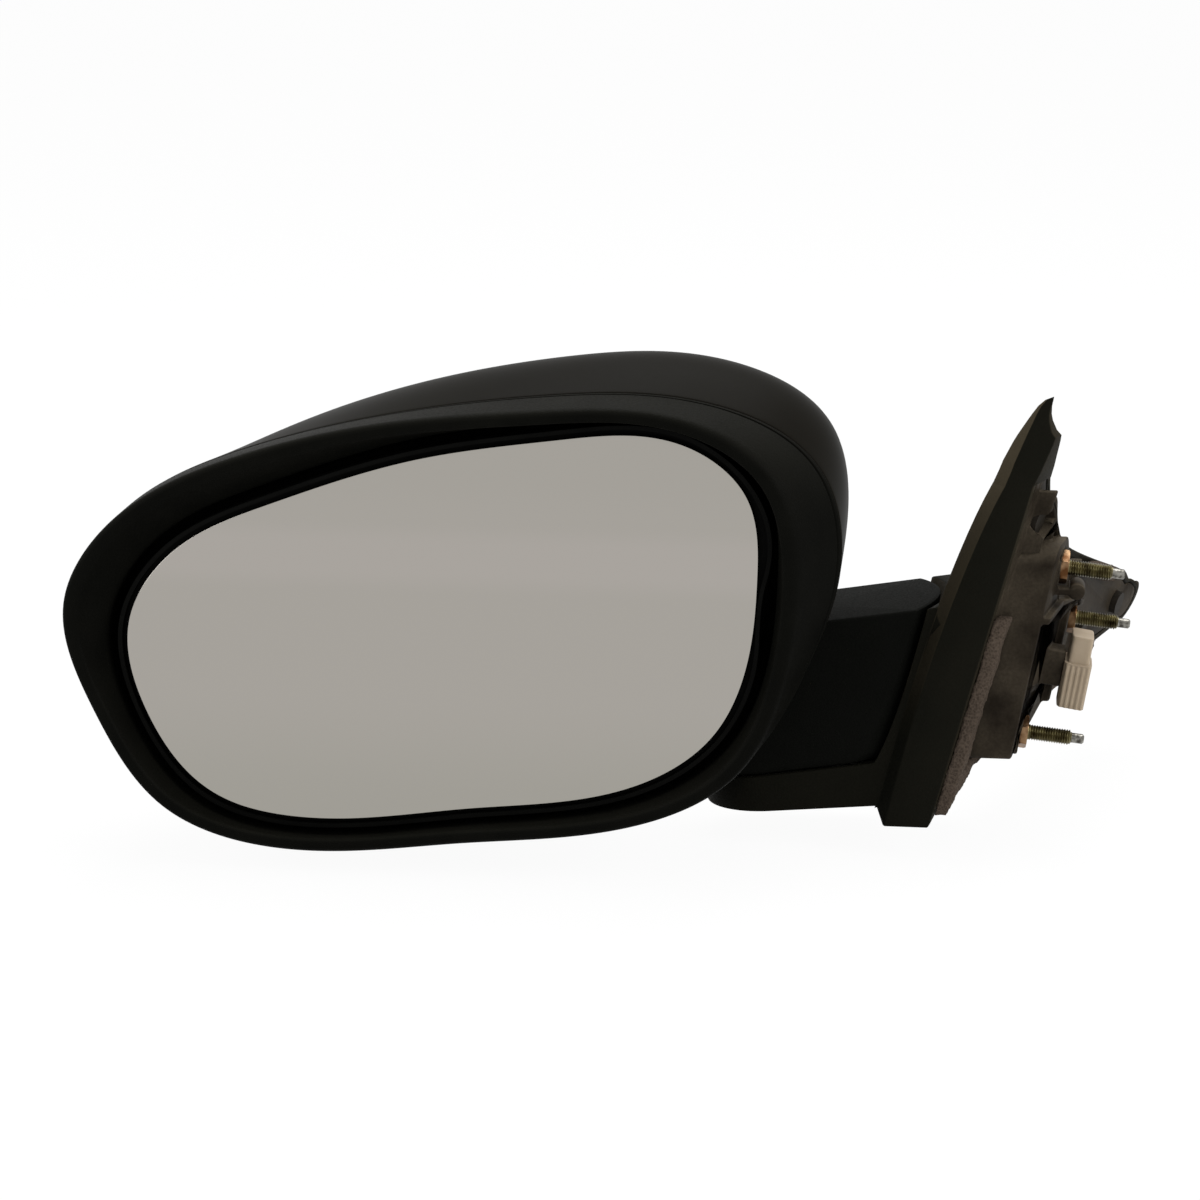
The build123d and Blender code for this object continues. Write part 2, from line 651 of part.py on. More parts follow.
with BuildPart() as base_casting:
    add(slab(spine_gap, -PLATE_DEPTH, 0) & sail_solid(spine_gap, NECK_HEIGHT))
    add(dome.part)
    for start, end in web_ribs:
        add(rib(start, end, -60, 40) & slab(GASKET_WIDTH + FIT, -1, WEB_HEIGHT))
    add(dome_grid.part)
    add(stud_bosses.part)
    add(core.part - stud_bosses.part, mode=Mode.SUBTRACT)
    add(spine.part)
    for place in stud_places:
        add(ring(place, -STUD_ROOT, 0, STUD_SHANK_R), mode=Mode.SUBTRACT)
        add(ring(place, 0, STUD_LENGTH, STUD_COLLAR_R + RUN), mode=Mode.SUBTRACT)
    for spot in cover_bolts:
        add(ring(sail_spot(*spot), -2 * PLATE_DEPTH, 0, SCREW_R + FIT), mode=Mode.SUBTRACT)
        add(ring(sail_spot(*spot), 0, WEB_HEIGHT, COVER_SCREW_HEAD_R + FIT), mode=Mode.SUBTRACT)
        add(ring(sail_spot(*spot), -COVER_BOSS, -PLATE_DEPTH, COVER_SCREW_HEAD_R + FIT), mode=Mode.SUBTRACT)
    add(ring(fold_plane, -POST_FOOT, 0, POST_R), mode=Mode.SUBTRACT)
    add(ring(fold_plane, -3 * POST_FOOT, 0, POST_BORE_R), mode=Mode.SUBTRACT)
    with BuildSketch(Plane.XZ.offset(-KEY_FRONT)):
        with Locations(KEY_AT):
            Circle(KEY_R)
            Rectangle(KEY_STALK, RIB_THICK, align=(Align.MAX, Align.CENTER))
    extrude(amount=KEY_LENGTH)
    with BuildSketch(plug_plane.offset(-PLUG_SEAT[2] / 2)):
        with Locations((-PLUG_SIZE[0] / 2, 0)):
            Rectangle(PLUG_SEAT[0], PLUG_SEAT[1], align=(Align.MAX, Align.CENTER))
    extrude(amount=PLUG_SEAT[2])
save(base_casting, "base_casting")

with BuildPart() as mounting_studs:
    for place in stud_places:
        thread_end = STUD_LENGTH - STUD_TIP_LENGTH
        add(ring(place, 0, STUD_COLLAR_LENGTH, STUD_COLLAR_R))
        add(ring(place, -STUD_ROOT, 0, STUD_SHANK_R))
        add(ring(place, 0, thread_end, STUD_R))
        add(ring(place, thread_end, STUD_LENGTH, STUD_TIP_R))
save(mounting_studs, "mounting_studs")

with BuildPart() as cover_screws:
    for spot in cover_bolts:
        add(ring(sail_spot(*spot), 0, SCREW_HEAD, COVER_SCREW_HEAD_R))
        add(ring(sail_spot(*spot), -COVER_SCREW_LENGTH, 0, SCREW_R))
save(cover_screws, "cover_screws")

with BuildPart() as connector_housing:
    with BuildSketch(plug_plane.offset(-PLUG_SIZE[2] / 2)):
        RectangleRounded(PLUG_SIZE[0], PLUG_SIZE[1], 0.8)
    extrude(amount=PLUG_SIZE[2])
    with BuildSketch(plug_plane.offset(-PLUG_SIZE[2] / 2)):
        Rectangle(PLUG_SIZE[0] - 2 * PLUG_WALL, PLUG_SIZE[1] - 2 * PLUG_WALL)
    extrude(amount=PLUG_DEPTH, mode=Mode.SUBTRACT)
save(connector_housing, "connector_housing")

with BuildPart() as connector_terminals:
    with BuildSketch(plug_plane.offset(PLUG_DEPTH - PLUG_SIZE[2] / 2)):
        with GridLocations(3, 3.2, 2, 3):
            Rectangle(TERMINAL_SIZE, TERMINAL_SIZE)
    extrude(amount=-PLUG_DEPTH / 2)
save(connector_terminals, "connector_terminals")

# ---------------------------------------------------------------- glass, its holder and pivot
with BuildPart() as mirror_glass:
    extrude(outline(glass, GLASS_Y), amount=-GLASS_THICK)
save(mirror_glass, "mirror_glass")

pad_y = GLASS_Y + GLASS_THICK
with BuildPart() as glass_pad:
    extrude(outline(grown(glass, -4), pad_y), amount=-PAD_THICK)
save(glass_pad, "glass_pad")


def along_x(x):
    """A plane looking along the car's width through the glass's pivot."""
    return Plane(origin=(x, pivot_y, PIVOT_Z), x_dir=(0, 1, 0), z_dir=(1, 0, 0))


def along_z(z):
    """A plane looking up through the glass's pivot."""
    return Plane(origin=(PIVOT_X, pivot_y, z), x_dir=(1, 0, 0), z_dir=(0, 0, 1))


def along_y(x, z):
    """A plane looking forwards, from which heights are places along the car."""
    return Plane(origin=(x, 0, z), x_dir=(1, 0, 0), z_dir=(0, 1, 0))


jack_spots = {"pan": (PIVOT_X + SCREW_ARM, PIVOT_Z), "tilt": (PIVOT_X, PIVOT_Z - SCREW_ARM)}
holder_y = pad_y + PAD_THICK
holder_back = holder_y + HOLDER_THICK
cup_r = BALL_R + SOCKET_PLAY

with BuildPart() as glass_holder:
    extrude(outline(holder, GLASS_Y + FIT), amount=FIT - (holder_back - GLASS_Y))
    extrude(outline(grown(holder, -HOLDER_RIM), GLASS_Y + FIT), amount=FIT - (holder_y - GLASS_Y), mode=Mode.SUBTRACT)
    for side in (-1, 1):
        with BuildSketch(along_x(PIVOT_X + side * LUG_IN)):
            Circle(LUG_R)
            Rectangle(pivot_y - holder_back, 2 * LUG_R, align=(Align.MAX, Align.CENTER))
            Circle(TRUNNION_R + BORE_FIT, mode=Mode.SUBTRACT)
        extrude(amount=side * (LUG_OUT - LUG_IN))
    for spot in jack_spots.values():
        add(ring(along_y(*spot), holder_back, pivot_y + BALL_R, cup_r + CUP_WALL, cup_r))
save(glass_holder, "glass_holder")

with BuildPart() as gimbal:
    with Locations((PIVOT_X, pivot_y, PIVOT_Z)):
        Box(2 * GIMBAL_HALF, 2 * LUG_R, 2 * GIMBAL_HALF)
    add(ring(along_x(PIVOT_X), -TRUNNION_LENGTH, TRUNNION_LENGTH, TRUNNION_R))
    add(ring(along_z(PIVOT_Z), -TRUNNION_LENGTH, TRUNNION_LENGTH, TRUNNION_R))
save(gimbal, "gimbal")

# ---------------------------------------------------------------- glass drive
lid_back = case_y + CASE_WALL
gear_y = (lid_back + frame_face - CASE_WALL) / 2

with BuildPart() as drive_lid:
    add(ring(along_y(PIVOT_X, PIVOT_Z), case_y, lid_back, CASE_R))
    for side in (-1, 1):
        with BuildSketch(along_z(PIVOT_Z + side * LUG_IN)):
            Circle(LUG_R)
            Rectangle(2 * LUG_R, case_y - pivot_y, align=(Align.CENTER, Align.MIN))
            Circle(TRUNNION_R + BORE_FIT, mode=Mode.SUBTRACT)
        extrude(amount=side * (LUG_OUT - LUG_IN))
    for spot in jack_spots.values():
        add(ring(along_y(*spot), case_y, lid_back, GEAR_HUB_R + BORE_FIT), mode=Mode.SUBTRACT)
save(drive_lid, "drive_lid")

with BuildPart() as drive_case:
    add(ring(along_y(PIVOT_X, PIVOT_Z), lid_back, frame_face, CASE_R))
    add(ring(along_y(PIVOT_X, PIVOT_Z), lid_back, frame_face - CASE_WALL, CASE_R - CASE_WALL), mode=Mode.SUBTRACT)
    for spot in case_bolts:
        add(ring(along_y(*spot), frame_face - SCREW_LENGTH, frame_face, SCREW_HEAD_R))
        add(ring(along_y(*spot), frame_face - SCREW_LENGTH, frame_face, SCREW_R), mode=Mode.SUBTRACT)
save(drive_case, "drive_case")

tooth = GEAR_R * 3.1416 / GEAR_TEETH
for name, (x, z) in jack_spots.items():
    plane = along_y(x, z)
    with BuildPart() as jackscrew:
        with Locations((x, pivot_y, z)):
            Sphere(BALL_R)
        add(ring(plane, pivot_y, pivot_y + JACK_LENGTH, JACK_R))
    save(jackscrew, f"jackscrew_{name}")

    with BuildPart() as gear:
        add(ring(plane, gear_y - GEAR_THICK / 2, gear_y + GEAR_THICK / 2, GEAR_R))
        add(ring(plane, case_y, gear_y, GEAR_HUB_R))
        add(ring(plane, case_y, gear_y + GEAR_THICK, JACK_R + BORE_FIT), mode=Mode.SUBTRACT)
        with BuildSketch(plane.offset(gear_y - GEAR_THICK / 2)):
            with PolarLocations(GEAR_R, GEAR_TEETH):
                Rectangle(tooth, tooth)
        extrude(amount=GEAR_THICK, mode=Mode.SUBTRACT)
    save(gear, f"gear_{name}")

worm_offset = GEAR_R + WORM_R + RUN
motor_plane = {
    "pan": Plane(origin=(PIVOT_X + SCREW_ARM - worm_offset, gear_y, PIVOT_Z), x_dir=(1, 0, 0), z_dir=(0, 0, 1)),
    "tilt": Plane(origin=(PIVOT_X, gear_y, PIVOT_Z - SCREW_ARM + worm_offset), x_dir=(0, 1, 0), z_dir=(-1, 0, 0)),
}
for name, plane in motor_plane.items():
    with BuildPart() as motor:
        add(ring(plane, WORM_LENGTH / 2, WORM_LENGTH / 2 + MOTOR_LENGTH, MOTOR_R))
        add(ring(plane, -WORM_LENGTH / 2, WORM_LENGTH / 2, WORM_R))
    save(motor, f"motor_{name}")

# ---------------------------------------------------------------- screws of the head
with BuildPart() as drive_screws:
    for spot in case_bolts:
        add(ring(along_y(*spot), FRAME_Y, FRAME_Y + SCREW_HEAD, SCREW_HEAD_R))
        add(ring(along_y(*spot), FRAME_Y - SCREW_LENGTH, FRAME_Y, SCREW_R))
save(drive_screws, "drive_screws")

with BuildPart() as bezel_screws:
    for spot in frame_bolts:
        add(ring(along_y(*spot), BACK_Y - SCREW_HEAD, BACK_Y, SCREW_HEAD_R))
        add(ring(along_y(*spot), BACK_Y, BACK_Y + SCREW_LENGTH, SCREW_R))
save(bezel_screws, "bezel_screws")
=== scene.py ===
"""Left door mirror of a saloon car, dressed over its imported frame.

The file follows the mirror as it is put together: the shells of the head, the glass and its
drive, the fold joint, the sail with its arm, the casting with its studs, and the studio.
"""

import bmesh
import bpy
import numpy as np
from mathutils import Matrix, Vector


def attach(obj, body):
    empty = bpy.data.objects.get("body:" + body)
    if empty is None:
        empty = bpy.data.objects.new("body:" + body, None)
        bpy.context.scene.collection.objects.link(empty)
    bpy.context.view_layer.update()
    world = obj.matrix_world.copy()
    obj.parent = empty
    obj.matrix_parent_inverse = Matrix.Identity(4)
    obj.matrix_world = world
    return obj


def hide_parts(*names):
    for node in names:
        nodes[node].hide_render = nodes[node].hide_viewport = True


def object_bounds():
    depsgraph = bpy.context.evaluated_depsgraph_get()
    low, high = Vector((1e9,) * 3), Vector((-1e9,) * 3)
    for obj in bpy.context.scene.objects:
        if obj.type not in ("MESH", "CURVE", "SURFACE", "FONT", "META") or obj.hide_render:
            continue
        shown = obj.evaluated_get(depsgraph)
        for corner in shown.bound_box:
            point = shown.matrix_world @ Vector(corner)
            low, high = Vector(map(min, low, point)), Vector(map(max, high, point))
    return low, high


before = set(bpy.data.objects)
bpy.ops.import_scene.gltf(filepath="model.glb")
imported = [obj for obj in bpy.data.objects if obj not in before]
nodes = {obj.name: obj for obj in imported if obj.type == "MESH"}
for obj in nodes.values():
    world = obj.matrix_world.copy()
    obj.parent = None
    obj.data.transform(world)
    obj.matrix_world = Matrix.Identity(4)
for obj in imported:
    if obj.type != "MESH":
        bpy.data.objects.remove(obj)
cad_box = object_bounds()

# ---------------------------------------------------------------- cap
# The smooth shell over the front of the head, moulded in ABS and painted satin black.
# It snaps over the frame and meets the bezel at a fine seam, and the neck leaves through a hole.


def closed_line(corners, steps=18):
    """A smooth closed line: the periodic cubic spline through its corners, over chord length.

    The second derivatives m at the corners solve
    h0*m0 + 2*(h0 + h1)*m1 + h1*m2 = 6*((p2 - p1)/h1 - (p1 - p0)/h0), with h the chords.
    """
    p = np.asarray(corners, float)
    count = len(p)
    after = np.roll(p, -1, 0)
    chord = np.linalg.norm(after - p, axis=1)
    before = np.roll(chord, 1)
    here = np.arange(count)
    rows = np.zeros((count, count))
    rows[here, here] = 2 * (chord + before)
    rows[here, here - 1] = before
    rows[here, (here + 1) % count] = chord
    slope = (after - p) / chord[:, None]
    m = np.linalg.solve(rows, 6 * (slope - np.roll(slope, 1, 0)))
    share = np.tile(np.arange(steps) / steps, count)[:, None]
    k = np.repeat(here, steps)
    n = (k + 1) % count
    h = chord[k][:, None]
    u, v = share * h, (1 - share) * h
    curved = (m[k] * v**3 + m[n] * u**3) / (6 * h)
    return curved + (p[k] / h - m[k] * h / 6) * v + (p[n] / h - m[n] * h / 6) * u


def grown(corners, amount):
    """A closed outline moved outwards by an amount: each corner goes along the sum of the normals
    of its two sides, amount / (1 + their dot product) times."""
    p = np.asarray(corners, float)
    side = np.roll(p, -1, 0) - p
    normal = np.stack([side[:, 1], -side[:, 0]], 1) / np.linalg.norm(side, axis=1)[:, None]
    both = normal + np.roll(normal, 1, 0)
    return p + both * (amount / (1 + (normal * np.roll(normal, 1, 0)).sum(1)))[:, None]


def level(line, y):
    """A ring in space: a line seen from behind the car, at one place along it."""
    return np.stack([line[:, 0], np.full(len(line), float(y)), line[:, 1]], 1)


def eased(rings, radii, closed=True, steps=4, furthest=0.45):
    """A stack of rings with corners rounded along the stack.

    Corner b between rings a and c gives way to (1-t)^2 p + 2t(1-t) b + t^2 q, in which p and q
    lie on ab and bc, a radius from b but at the furthest that share of the way.
    """
    out = []
    for i, (b, radius) in enumerate(zip(rings, radii)):
        if radius == 0 or (not closed and i in (0, len(rings) - 1)):
            out.append(b)
            continue
        ends = []
        for other in (rings[i - 1], rings[(i + 1) % len(rings)]):
            way = other - b
            far = np.maximum(np.linalg.norm(way, axis=1), 1e-9)[:, None]
            ends.append(b + way * np.minimum(radius / far, furthest))
        for t in np.linspace(0, 1, steps + 1):
            out.append((1 - t) ** 2 * ends[0] + 2 * t * (1 - t) * b + t * t * ends[1])
    return out


metre, weld_gap, smooth_below = 1000, 2e-6, 35  # in millimetres, in metres, in degrees


def piece(name, points, faces, body, finish, slot, sharp=smooth_below):
    """An object from points in millimetres and faces, with doubles merged and faces turned out."""
    mesh = bpy.data.meshes.new(name)
    mesh.from_pydata((np.asarray(points) / metre).tolist(), [], np.asarray(faces).tolist())
    made = bmesh.new()
    made.from_mesh(mesh)
    bmesh.ops.remove_doubles(made, verts=made.verts, dist=weld_gap)
    bmesh.ops.dissolve_degenerate(made, edges=made.edges, dist=1e-7)
    bmesh.ops.recalc_face_normals(made, faces=made.faces)
    made.to_mesh(mesh)
    made.free()
    return dressed(name, mesh, body, finish, sharp)


def dressed(name, mesh, body, finish, sharp=smooth_below):
    """An object over a mesh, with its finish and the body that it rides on.
    Edges that turn by more than an angle in degrees stay sharp."""
    mesh.shade_smooth()
    mesh.set_sharp_from_angle(angle=np.radians(sharp))
    mesh.materials.clear()
    mesh.materials.append(finish.material)
    thing = bpy.data.objects.new(name, mesh)
    bpy.context.scene.collection.objects.link(thing)
    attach(thing, body)
    return thing


def settled(thing, sharp=smooth_below):
    """Turns a piece's modifiers into its mesh."""
    graph = bpy.context.evaluated_depsgraph_get()
    mesh = bpy.data.meshes.new_from_object(thing.evaluated_get(graph))
    thing.modifiers.clear()
    thing.data = mesh
    mesh.set_sharp_from_angle(angle=np.radians(sharp))


def cut(thing, rings):
    """Takes the closed shape over an open stack of rings away from a piece."""
    stack = np.asarray(rings)
    ends = [np.repeat(stack[i].mean(0)[None], stack.shape[1], 0) for i in (0, -1)]
    points, faces = skin([ends[0], *stack, ends[1]], closed=False)
    mesh = bpy.data.meshes.new("cutter")
    mesh.from_pydata((points / metre).tolist(), [], faces.tolist())
    made = bmesh.new()
    made.from_mesh(mesh)
    bmesh.ops.remove_doubles(made, verts=made.verts, dist=weld_gap)
    bmesh.ops.recalc_face_normals(made, faces=made.faces)
    made.to_mesh(mesh)
    made.free()
    cutter = bpy.data.objects.new("cutter", mesh)
    bpy.context.scene.collection.objects.link(cutter)
    taken = thing.modifiers.new("cut", "BOOLEAN")
    taken.operation, taken.solver, taken.object = "DIFFERENCE", "EXACT", cutter
    settled(thing)
    bpy.data.objects.remove(cutter)


def skin(rings, closed=True):
    """Points and faces of a surface over a stack of rings, each joined to the next one."""
    stack = np.asarray(rings)
    high, wide = stack.shape[:2]
    i, j = np.meshgrid(np.arange(high if closed else high - 1), np.arange(wide), indexing="ij")
    up, on = (i + 1) % high, (j + 1) % wide
    quads = np.stack([i * wide + j, i * wide + on, up * wide + on, up * wide + j], -1)
    return stack.reshape(-1, 3), quads.reshape(-1, 4)


class Level:
    """A number that varies over a surface. Arithmetic on it adds Math nodes."""

    def __init__(self, finish, socket):
        self.finish = finish
        self.socket = socket

    def math(self, operation, first, second):
        """A Math node on two levels or numbers."""
        return self.finish.node("ShaderNodeMath", {"operation": operation}, {0: first, 1: second})

    def __add__(self, other):
        return self.math("ADD", self, other)

    def __mul__(self, other):
        return self.math("MULTIPLY", self, other)

    def __sub__(self, other):
        return self.math("SUBTRACT", self, other)

    def __rsub__(self, other):
        return self.math("SUBTRACT", other, self)

    __radd__ = __add__
    __rmul__ = __mul__


class Finish:
    """A procedural material on one Principled shader."""

    def __init__(self, name, colour, **plain):
        self.material = bpy.data.materials.new(name)
        self.material.use_nodes = True
        self.tree = self.material.node_tree
        self.shader = self.tree.nodes["Principled BSDF"]
        self.shader.inputs["Base Color"].default_value = (*colour, 1)
        for socket, value in plain.items():
            socket = socket.replace("_", " ").title().replace("Ior", "IOR")
            self.shader.inputs[socket].default_value = value
        self.place = self.node("ShaderNodeTexCoord", {}, {}, "Object")
        self.relief = None

    def node(self, kind, settings, sockets, output=0):
        """Adds a node: its settings first, then the values or links of its sockets."""
        made = self.tree.nodes.new(kind)
        for name, value in settings.items():
            if name == "stops":
                for stop, (at, grey) in zip(made.color_ramp.elements, value):
                    stop.position, stop.color = at, (grey, grey, grey, 1)
            else:
                setattr(made, name, value)
        for key, value in sockets.items():
            if isinstance(value, Level):
                self.tree.links.new(value.socket, made.inputs[key])
            else:
                made.inputs[key].default_value = value
        return Level(self, made.outputs[output])

    def noise(self, scale, detail=2.0, stretch=(1, 1, 1)):
        """Cloudy noise, with so many lumps to the metre."""
        spot = self.node("ShaderNodeMapping", {}, {"Vector": self.place, "Scale": stretch})
        sockets = {"Vector": spot, "Scale": scale, "Detail": detail}
        return self.node("ShaderNodeTexNoise", {}, sockets)

    def cells(self, scale):
        """Distance from the middle of each cell of a random pattern."""
        return self.node("ShaderNodeTexVoronoi", {}, {"Vector": self.place, "Scale": scale})

    def steps(self, value, low, high):
        """A value spread so that low gives 0 and high gives 1."""
        return self.node("ShaderNodeValToRGB", {"stops": [(low, 0), (high, 1)]}, {0: value})

    def facing(self, way):
        """How far the surface faces a direction: its normal times it, as a dot product."""
        normal = self.node("ShaderNodeNewGeometry", {}, {}, "Normal")
        dot = {"operation": "DOT_PRODUCT"}
        return self.node("ShaderNodeVectorMath", dot, {0: normal, 1: way}, "Value")

    def tint(self, dark, light, share):
        """Two colours mixed over the surface."""
        mix = {"data_type": "RGBA"}
        mixed = self.node("ShaderNodeMix", mix, {0: share, 6: (*dark, 1), 7: (*light, 1)}, 2)
        self.tree.links.new(mixed.socket, self.shader.inputs["Base Color"])

    def rough(self, value):
        """A roughness that varies over the surface."""
        self.tree.links.new(value.socket, self.shader.inputs["Roughness"])

    def bump(self, height, depth, strength=1.0):
        """Raises the surface by a height times a depth in metres; each call adds to the last."""
        sockets = {"Height": height, "Distance": depth, "Strength": strength}
        if self.relief:
            sockets["Normal"] = self.relief
        self.relief = self.node("ShaderNodeBump", {}, sockets)
        self.tree.links.new(self.relief.socket, self.shader.inputs["Normal"])


satin = Finish("cap_satin", (0.0068, 0.0062, 0.005), roughness=0.42, specular_ior_level=0.02)
satin_cloud = satin.noise(38, 3)
satin.tint((0.0058, 0.0052, 0.0038), (0.0082, 0.0073, 0.0054), satin_cloud)
satin.rough(0.38 + 0.1 * satin_cloud)
satin.bump(satin.noise(2600, 1), 0.00002, 0.35)

seam_y, crown_y, nose_y, nose_power, nose_root = -60.0, -30.0, 18.0, 3.2, 2.2
shell_wall, seam_gap, edge_r = 2.6, 0.6, 0.5
head_middle = np.array((-178.0, 20.0))
seam_line = [
    (-74, 36), (-81, 68), (-115, 87), (-160, 88.7), (-213, 81.5), (-262, 68.5), (-297, 50),
    (-314.5, 22), (-306, -13), (-285, -44), (-246, -58.5), (-190, -54.5), (-134, -45), (-102, -26),
    (-83, 6),
]
crown_line = [
    (-74, 38), (-78, 78), (-108, 96), (-160, 97), (-210, 87), (-258, 69), (-290, 48),
    (-308, 20), (-303, -14), (-283, -46), (-244, -59), (-190, -56), (-142, -46.5), (-110, -29),
    (-87, 4),
]


def cap_ring(share, inset):
    """The cap's section a share of the way from the seam to the nose, drawn in by a wall.

    The line is mixed from seam to crown by a quarter sine, then shrunk about the middle of the
    head by (1 - share^power)^(1/root), which is 0 at the nose.
    """
    depth = nose_y - inset - seam_y
    swell = np.sin(np.pi / 2 * min(1, share * depth / (crown_y - seam_y)))
    first, last = grown(seam_line, -inset), grown(crown_line, -inset)
    size = (1 - share**nose_power) ** (1 / nose_root)
    line = closed_line(first + (last - first) * swell)
    return level(head_middle + (line - head_middle) * size, seam_y + depth * share)


cap_shares = np.sin(np.linspace(0, np.pi / 2, 64))
cap_outer = [cap_ring(share, 0) for share in cap_shares]
cap_inner = [cap_ring(share, shell_wall) for share in cap_shares]
cap_edge = [cap_outer[1], cap_outer[0], cap_inner[0], cap_inner[1]]
cap_edge = eased(cap_edge, (0, edge_r, edge_r, 0), closed=False)
cap = piece(
    "cap_shell",
    *skin(cap_outer[::-1][:-2] + cap_edge + cap_inner[2:], closed=False),
    "head", satin, "satin_cap",
)
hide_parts("cap")

fold_foot, fold_lean = np.array((-75.0, -12.0, -35.0)), np.radians(9)
fold_out = np.array((np.cos(fold_lean), 0, np.sin(fold_lean)))
fold_up = np.array((-np.sin(fold_lean), 0, np.cos(fold_lean)))
forward = np.array((0.0, 1.0, 0.0))
neck_half, neck_foot_r, neck_top, neck_flare, arm_reach = 22.0, 22.2, 48.0, 0.345, 24.0
neck_hole_foot, arc_points, side_points = -12.0, 49, 15


def on_fold(flat, height):
    """Places in space of points over the arm's top face, at a height along the fold axis."""
    flat = np.asarray(flat, float)
    across, along = flat[..., :1] * fold_out, flat[..., 1:] * forward
    return fold_foot + across + along + height * fold_up


def neck_ring(height, inset=0.0):
    """The neck's section at a height.

    Towards the door it is an arc of radius foot + flare * height about the fold axis, cut to the
    neck's thickness; straight sides lead to a half circle about the arm's end.
    """
    radius, half = neck_foot_r + neck_flare * height - inset, neck_half - inset
    reach = np.arcsin(min(1, half / radius))
    near = np.linspace(-reach, reach, arc_points)
    far = np.linspace(np.pi / 2, 1.5 * np.pi, arc_points)
    door = radius * np.stack([np.cos(near), np.sin(near)], 1)
    head = half * np.stack([np.cos(far), np.sin(far)], 1) - (arm_reach, 0)
    share = np.linspace(0, 1, side_points)[1:-1, None]
    front = door[-1] * (1 - share) + head[0] * share
    rear = head[-1] * (1 - share) + door[0] * share
    return on_fold(np.concatenate([door, front, head, rear]), height)


neck_hole = np.linspace(neck_hole_foot, neck_top + seam_gap, 9)
cut(cap, [neck_ring(height, -seam_gap) for height in neck_hole])

# ---------------------------------------------------------------- bezel
# The frame round the mirror glass: grained black ASA with a rolled lip, a deep well down to the
# glass, and a bulkhead with a round hole for the drive. Four screws hold it to the head frame.


def moulded(name, dark, light, gloss, painted_top_light):
    """Grained black plastic: pits over two blacks in a slow cloud, and paler where a face looks up,
    a painted highlight of the light from above.
    """
    made = Finish(name, dark, roughness=0.5, specular_ior_level=gloss)
    pits, upward = made.cells(1500), made.facing((0, -0.2, 0.98))
    # Painted highlight: faces that look up get more of the paler black, standing in for the top
    # light.
    made.tint(dark, light, 0.5 * made.noise(70, 4) + painted_top_light * made.steps(upward, 0.3, 0.95))
    made.rough(0.44 + 0.16 * pits)
    made.bump(pits, 0.00009, 0.5)
    made.bump(made.noise(420, 2), 0.00006, 0.3)
    return made


# The last number is the share of the painted top highlight on upward faces.
grained = moulded("grained_black", (0.0017, 0.0018, 0.0014), (0.0083, 0.0081, 0.0063), 0.018, 0.6)

rim_y, back_y, sweep_y, glass_y = -78.0, -45.0, -48.0, -69.0
well_wall, lip_width, lip_thick, lip_r, mouth_r, well_r = 1.6, 4.2, 2.6, 2.6, 1.4, 1.0
holder_lip, glass_play, holder_thick, bulkhead_step = 2.8, 3.0, 2.6, 2.0
groove_above, groove_top, groove_foot, groove_below, groove_deep = -61.7, -61.8, -62.35, -62.5, 0.45
drive_middle = np.array((-196.0, 15.0))
drive_hole_r, hole_edge_r = 42.4, 0.3
rim_line = [
    (-86.3, 36), (-93.5, 67), (-120, 84.5), (-165, 86.5), (-214, 81.5), (-262, 69), (-297, 50),
    (-314.5, 22), (-306, -12), (-285, -42.5), (-246, -55), (-190, -51), (-134, -43), (-104, -26),
    (-89, 8),
]
glass_line = [
    (-98.8, 34), (-102.5, 60), (-122, 75.5), (-160, 76.2), (-204, 69), (-251, 53.5), (-281, 38),
    (-295.8, 15), (-290.8, -14.6), (-272, -39), (-238, -47.4), (-188.5, -42.4), (-136, -33),
    (-112, -16), (-101.5, 8),
]
mouth_line = grown(rim_line, -lip_width)
opening_line = grown(grown(glass_line, holder_lip), glass_play)
bulkhead_line = grown(glass_line, bulkhead_step)
opening_y = glass_y + holder_thick


def between(first, last, share):
    """A line part of the way from one outline to another."""
    return closed_line(np.asarray(first) * (1 - share) + np.asarray(last) * share)


def skirt(y, inset=0.0):
    """The bezel's outer wall, straight from the seam to the rim: their lines mixed by the share
    of the way along Y."""
    share = (y - seam_y + seam_gap) / (rim_y - seam_y + seam_gap)
    return level(between(grown(seam_line, -inset), grown(rim_line, -inset), share), y)


def round_hole(y):
    """The hole for the drive: its radius times the direction from its middle to each point of the
    bulkhead's line."""
    way = closed_line(bulkhead_line) - drive_middle
    way = way / np.linalg.norm(way, axis=1)[:, None]
    return level(drive_middle + drive_hole_r * way, y)


lip_back = rim_y + lip_thick
well_share = lip_thick / (opening_y - rim_y)
behind_mouth, behind_opening = grown(mouth_line, well_wall), grown(opening_line, well_wall)
bezel_rings = [  # each with the radius of its corner
    (skirt(seam_y - seam_gap), edge_r),
    (skirt(groove_above), 0.15), (skirt(groove_top, groove_deep), 0),
    (skirt(groove_foot, groove_deep), 0), (skirt(groove_below), 0.25),
    (level(closed_line(rim_line), rim_y), lip_r),
    (level(closed_line(mouth_line), rim_y), mouth_r),
    (level(closed_line(opening_line), opening_y), well_r),
    (level(closed_line(opening_line), sweep_y), edge_r),
    (level(closed_line(bulkhead_line), back_y), edge_r),
    (round_hole(back_y), hole_edge_r),
    (round_hole(back_y + shell_wall), hole_edge_r),
    (level(closed_line(grown(bulkhead_line, well_wall)), back_y + shell_wall), 0),
    (level(closed_line(behind_opening), sweep_y), 0),
    (level(closed_line(behind_opening), opening_y), 0),
    (level(between(behind_mouth, behind_opening, well_share), lip_back), 0),
    (level(closed_line(grown(rim_line, -shell_wall)), lip_back), 0),
    (skirt(seam_y - seam_gap, shell_wall), edge_r),
]
bezel = piece("bezel_shell", *skin(eased(*zip(*bezel_rings))), "head", grained, "textured_black")
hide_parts("bezel")

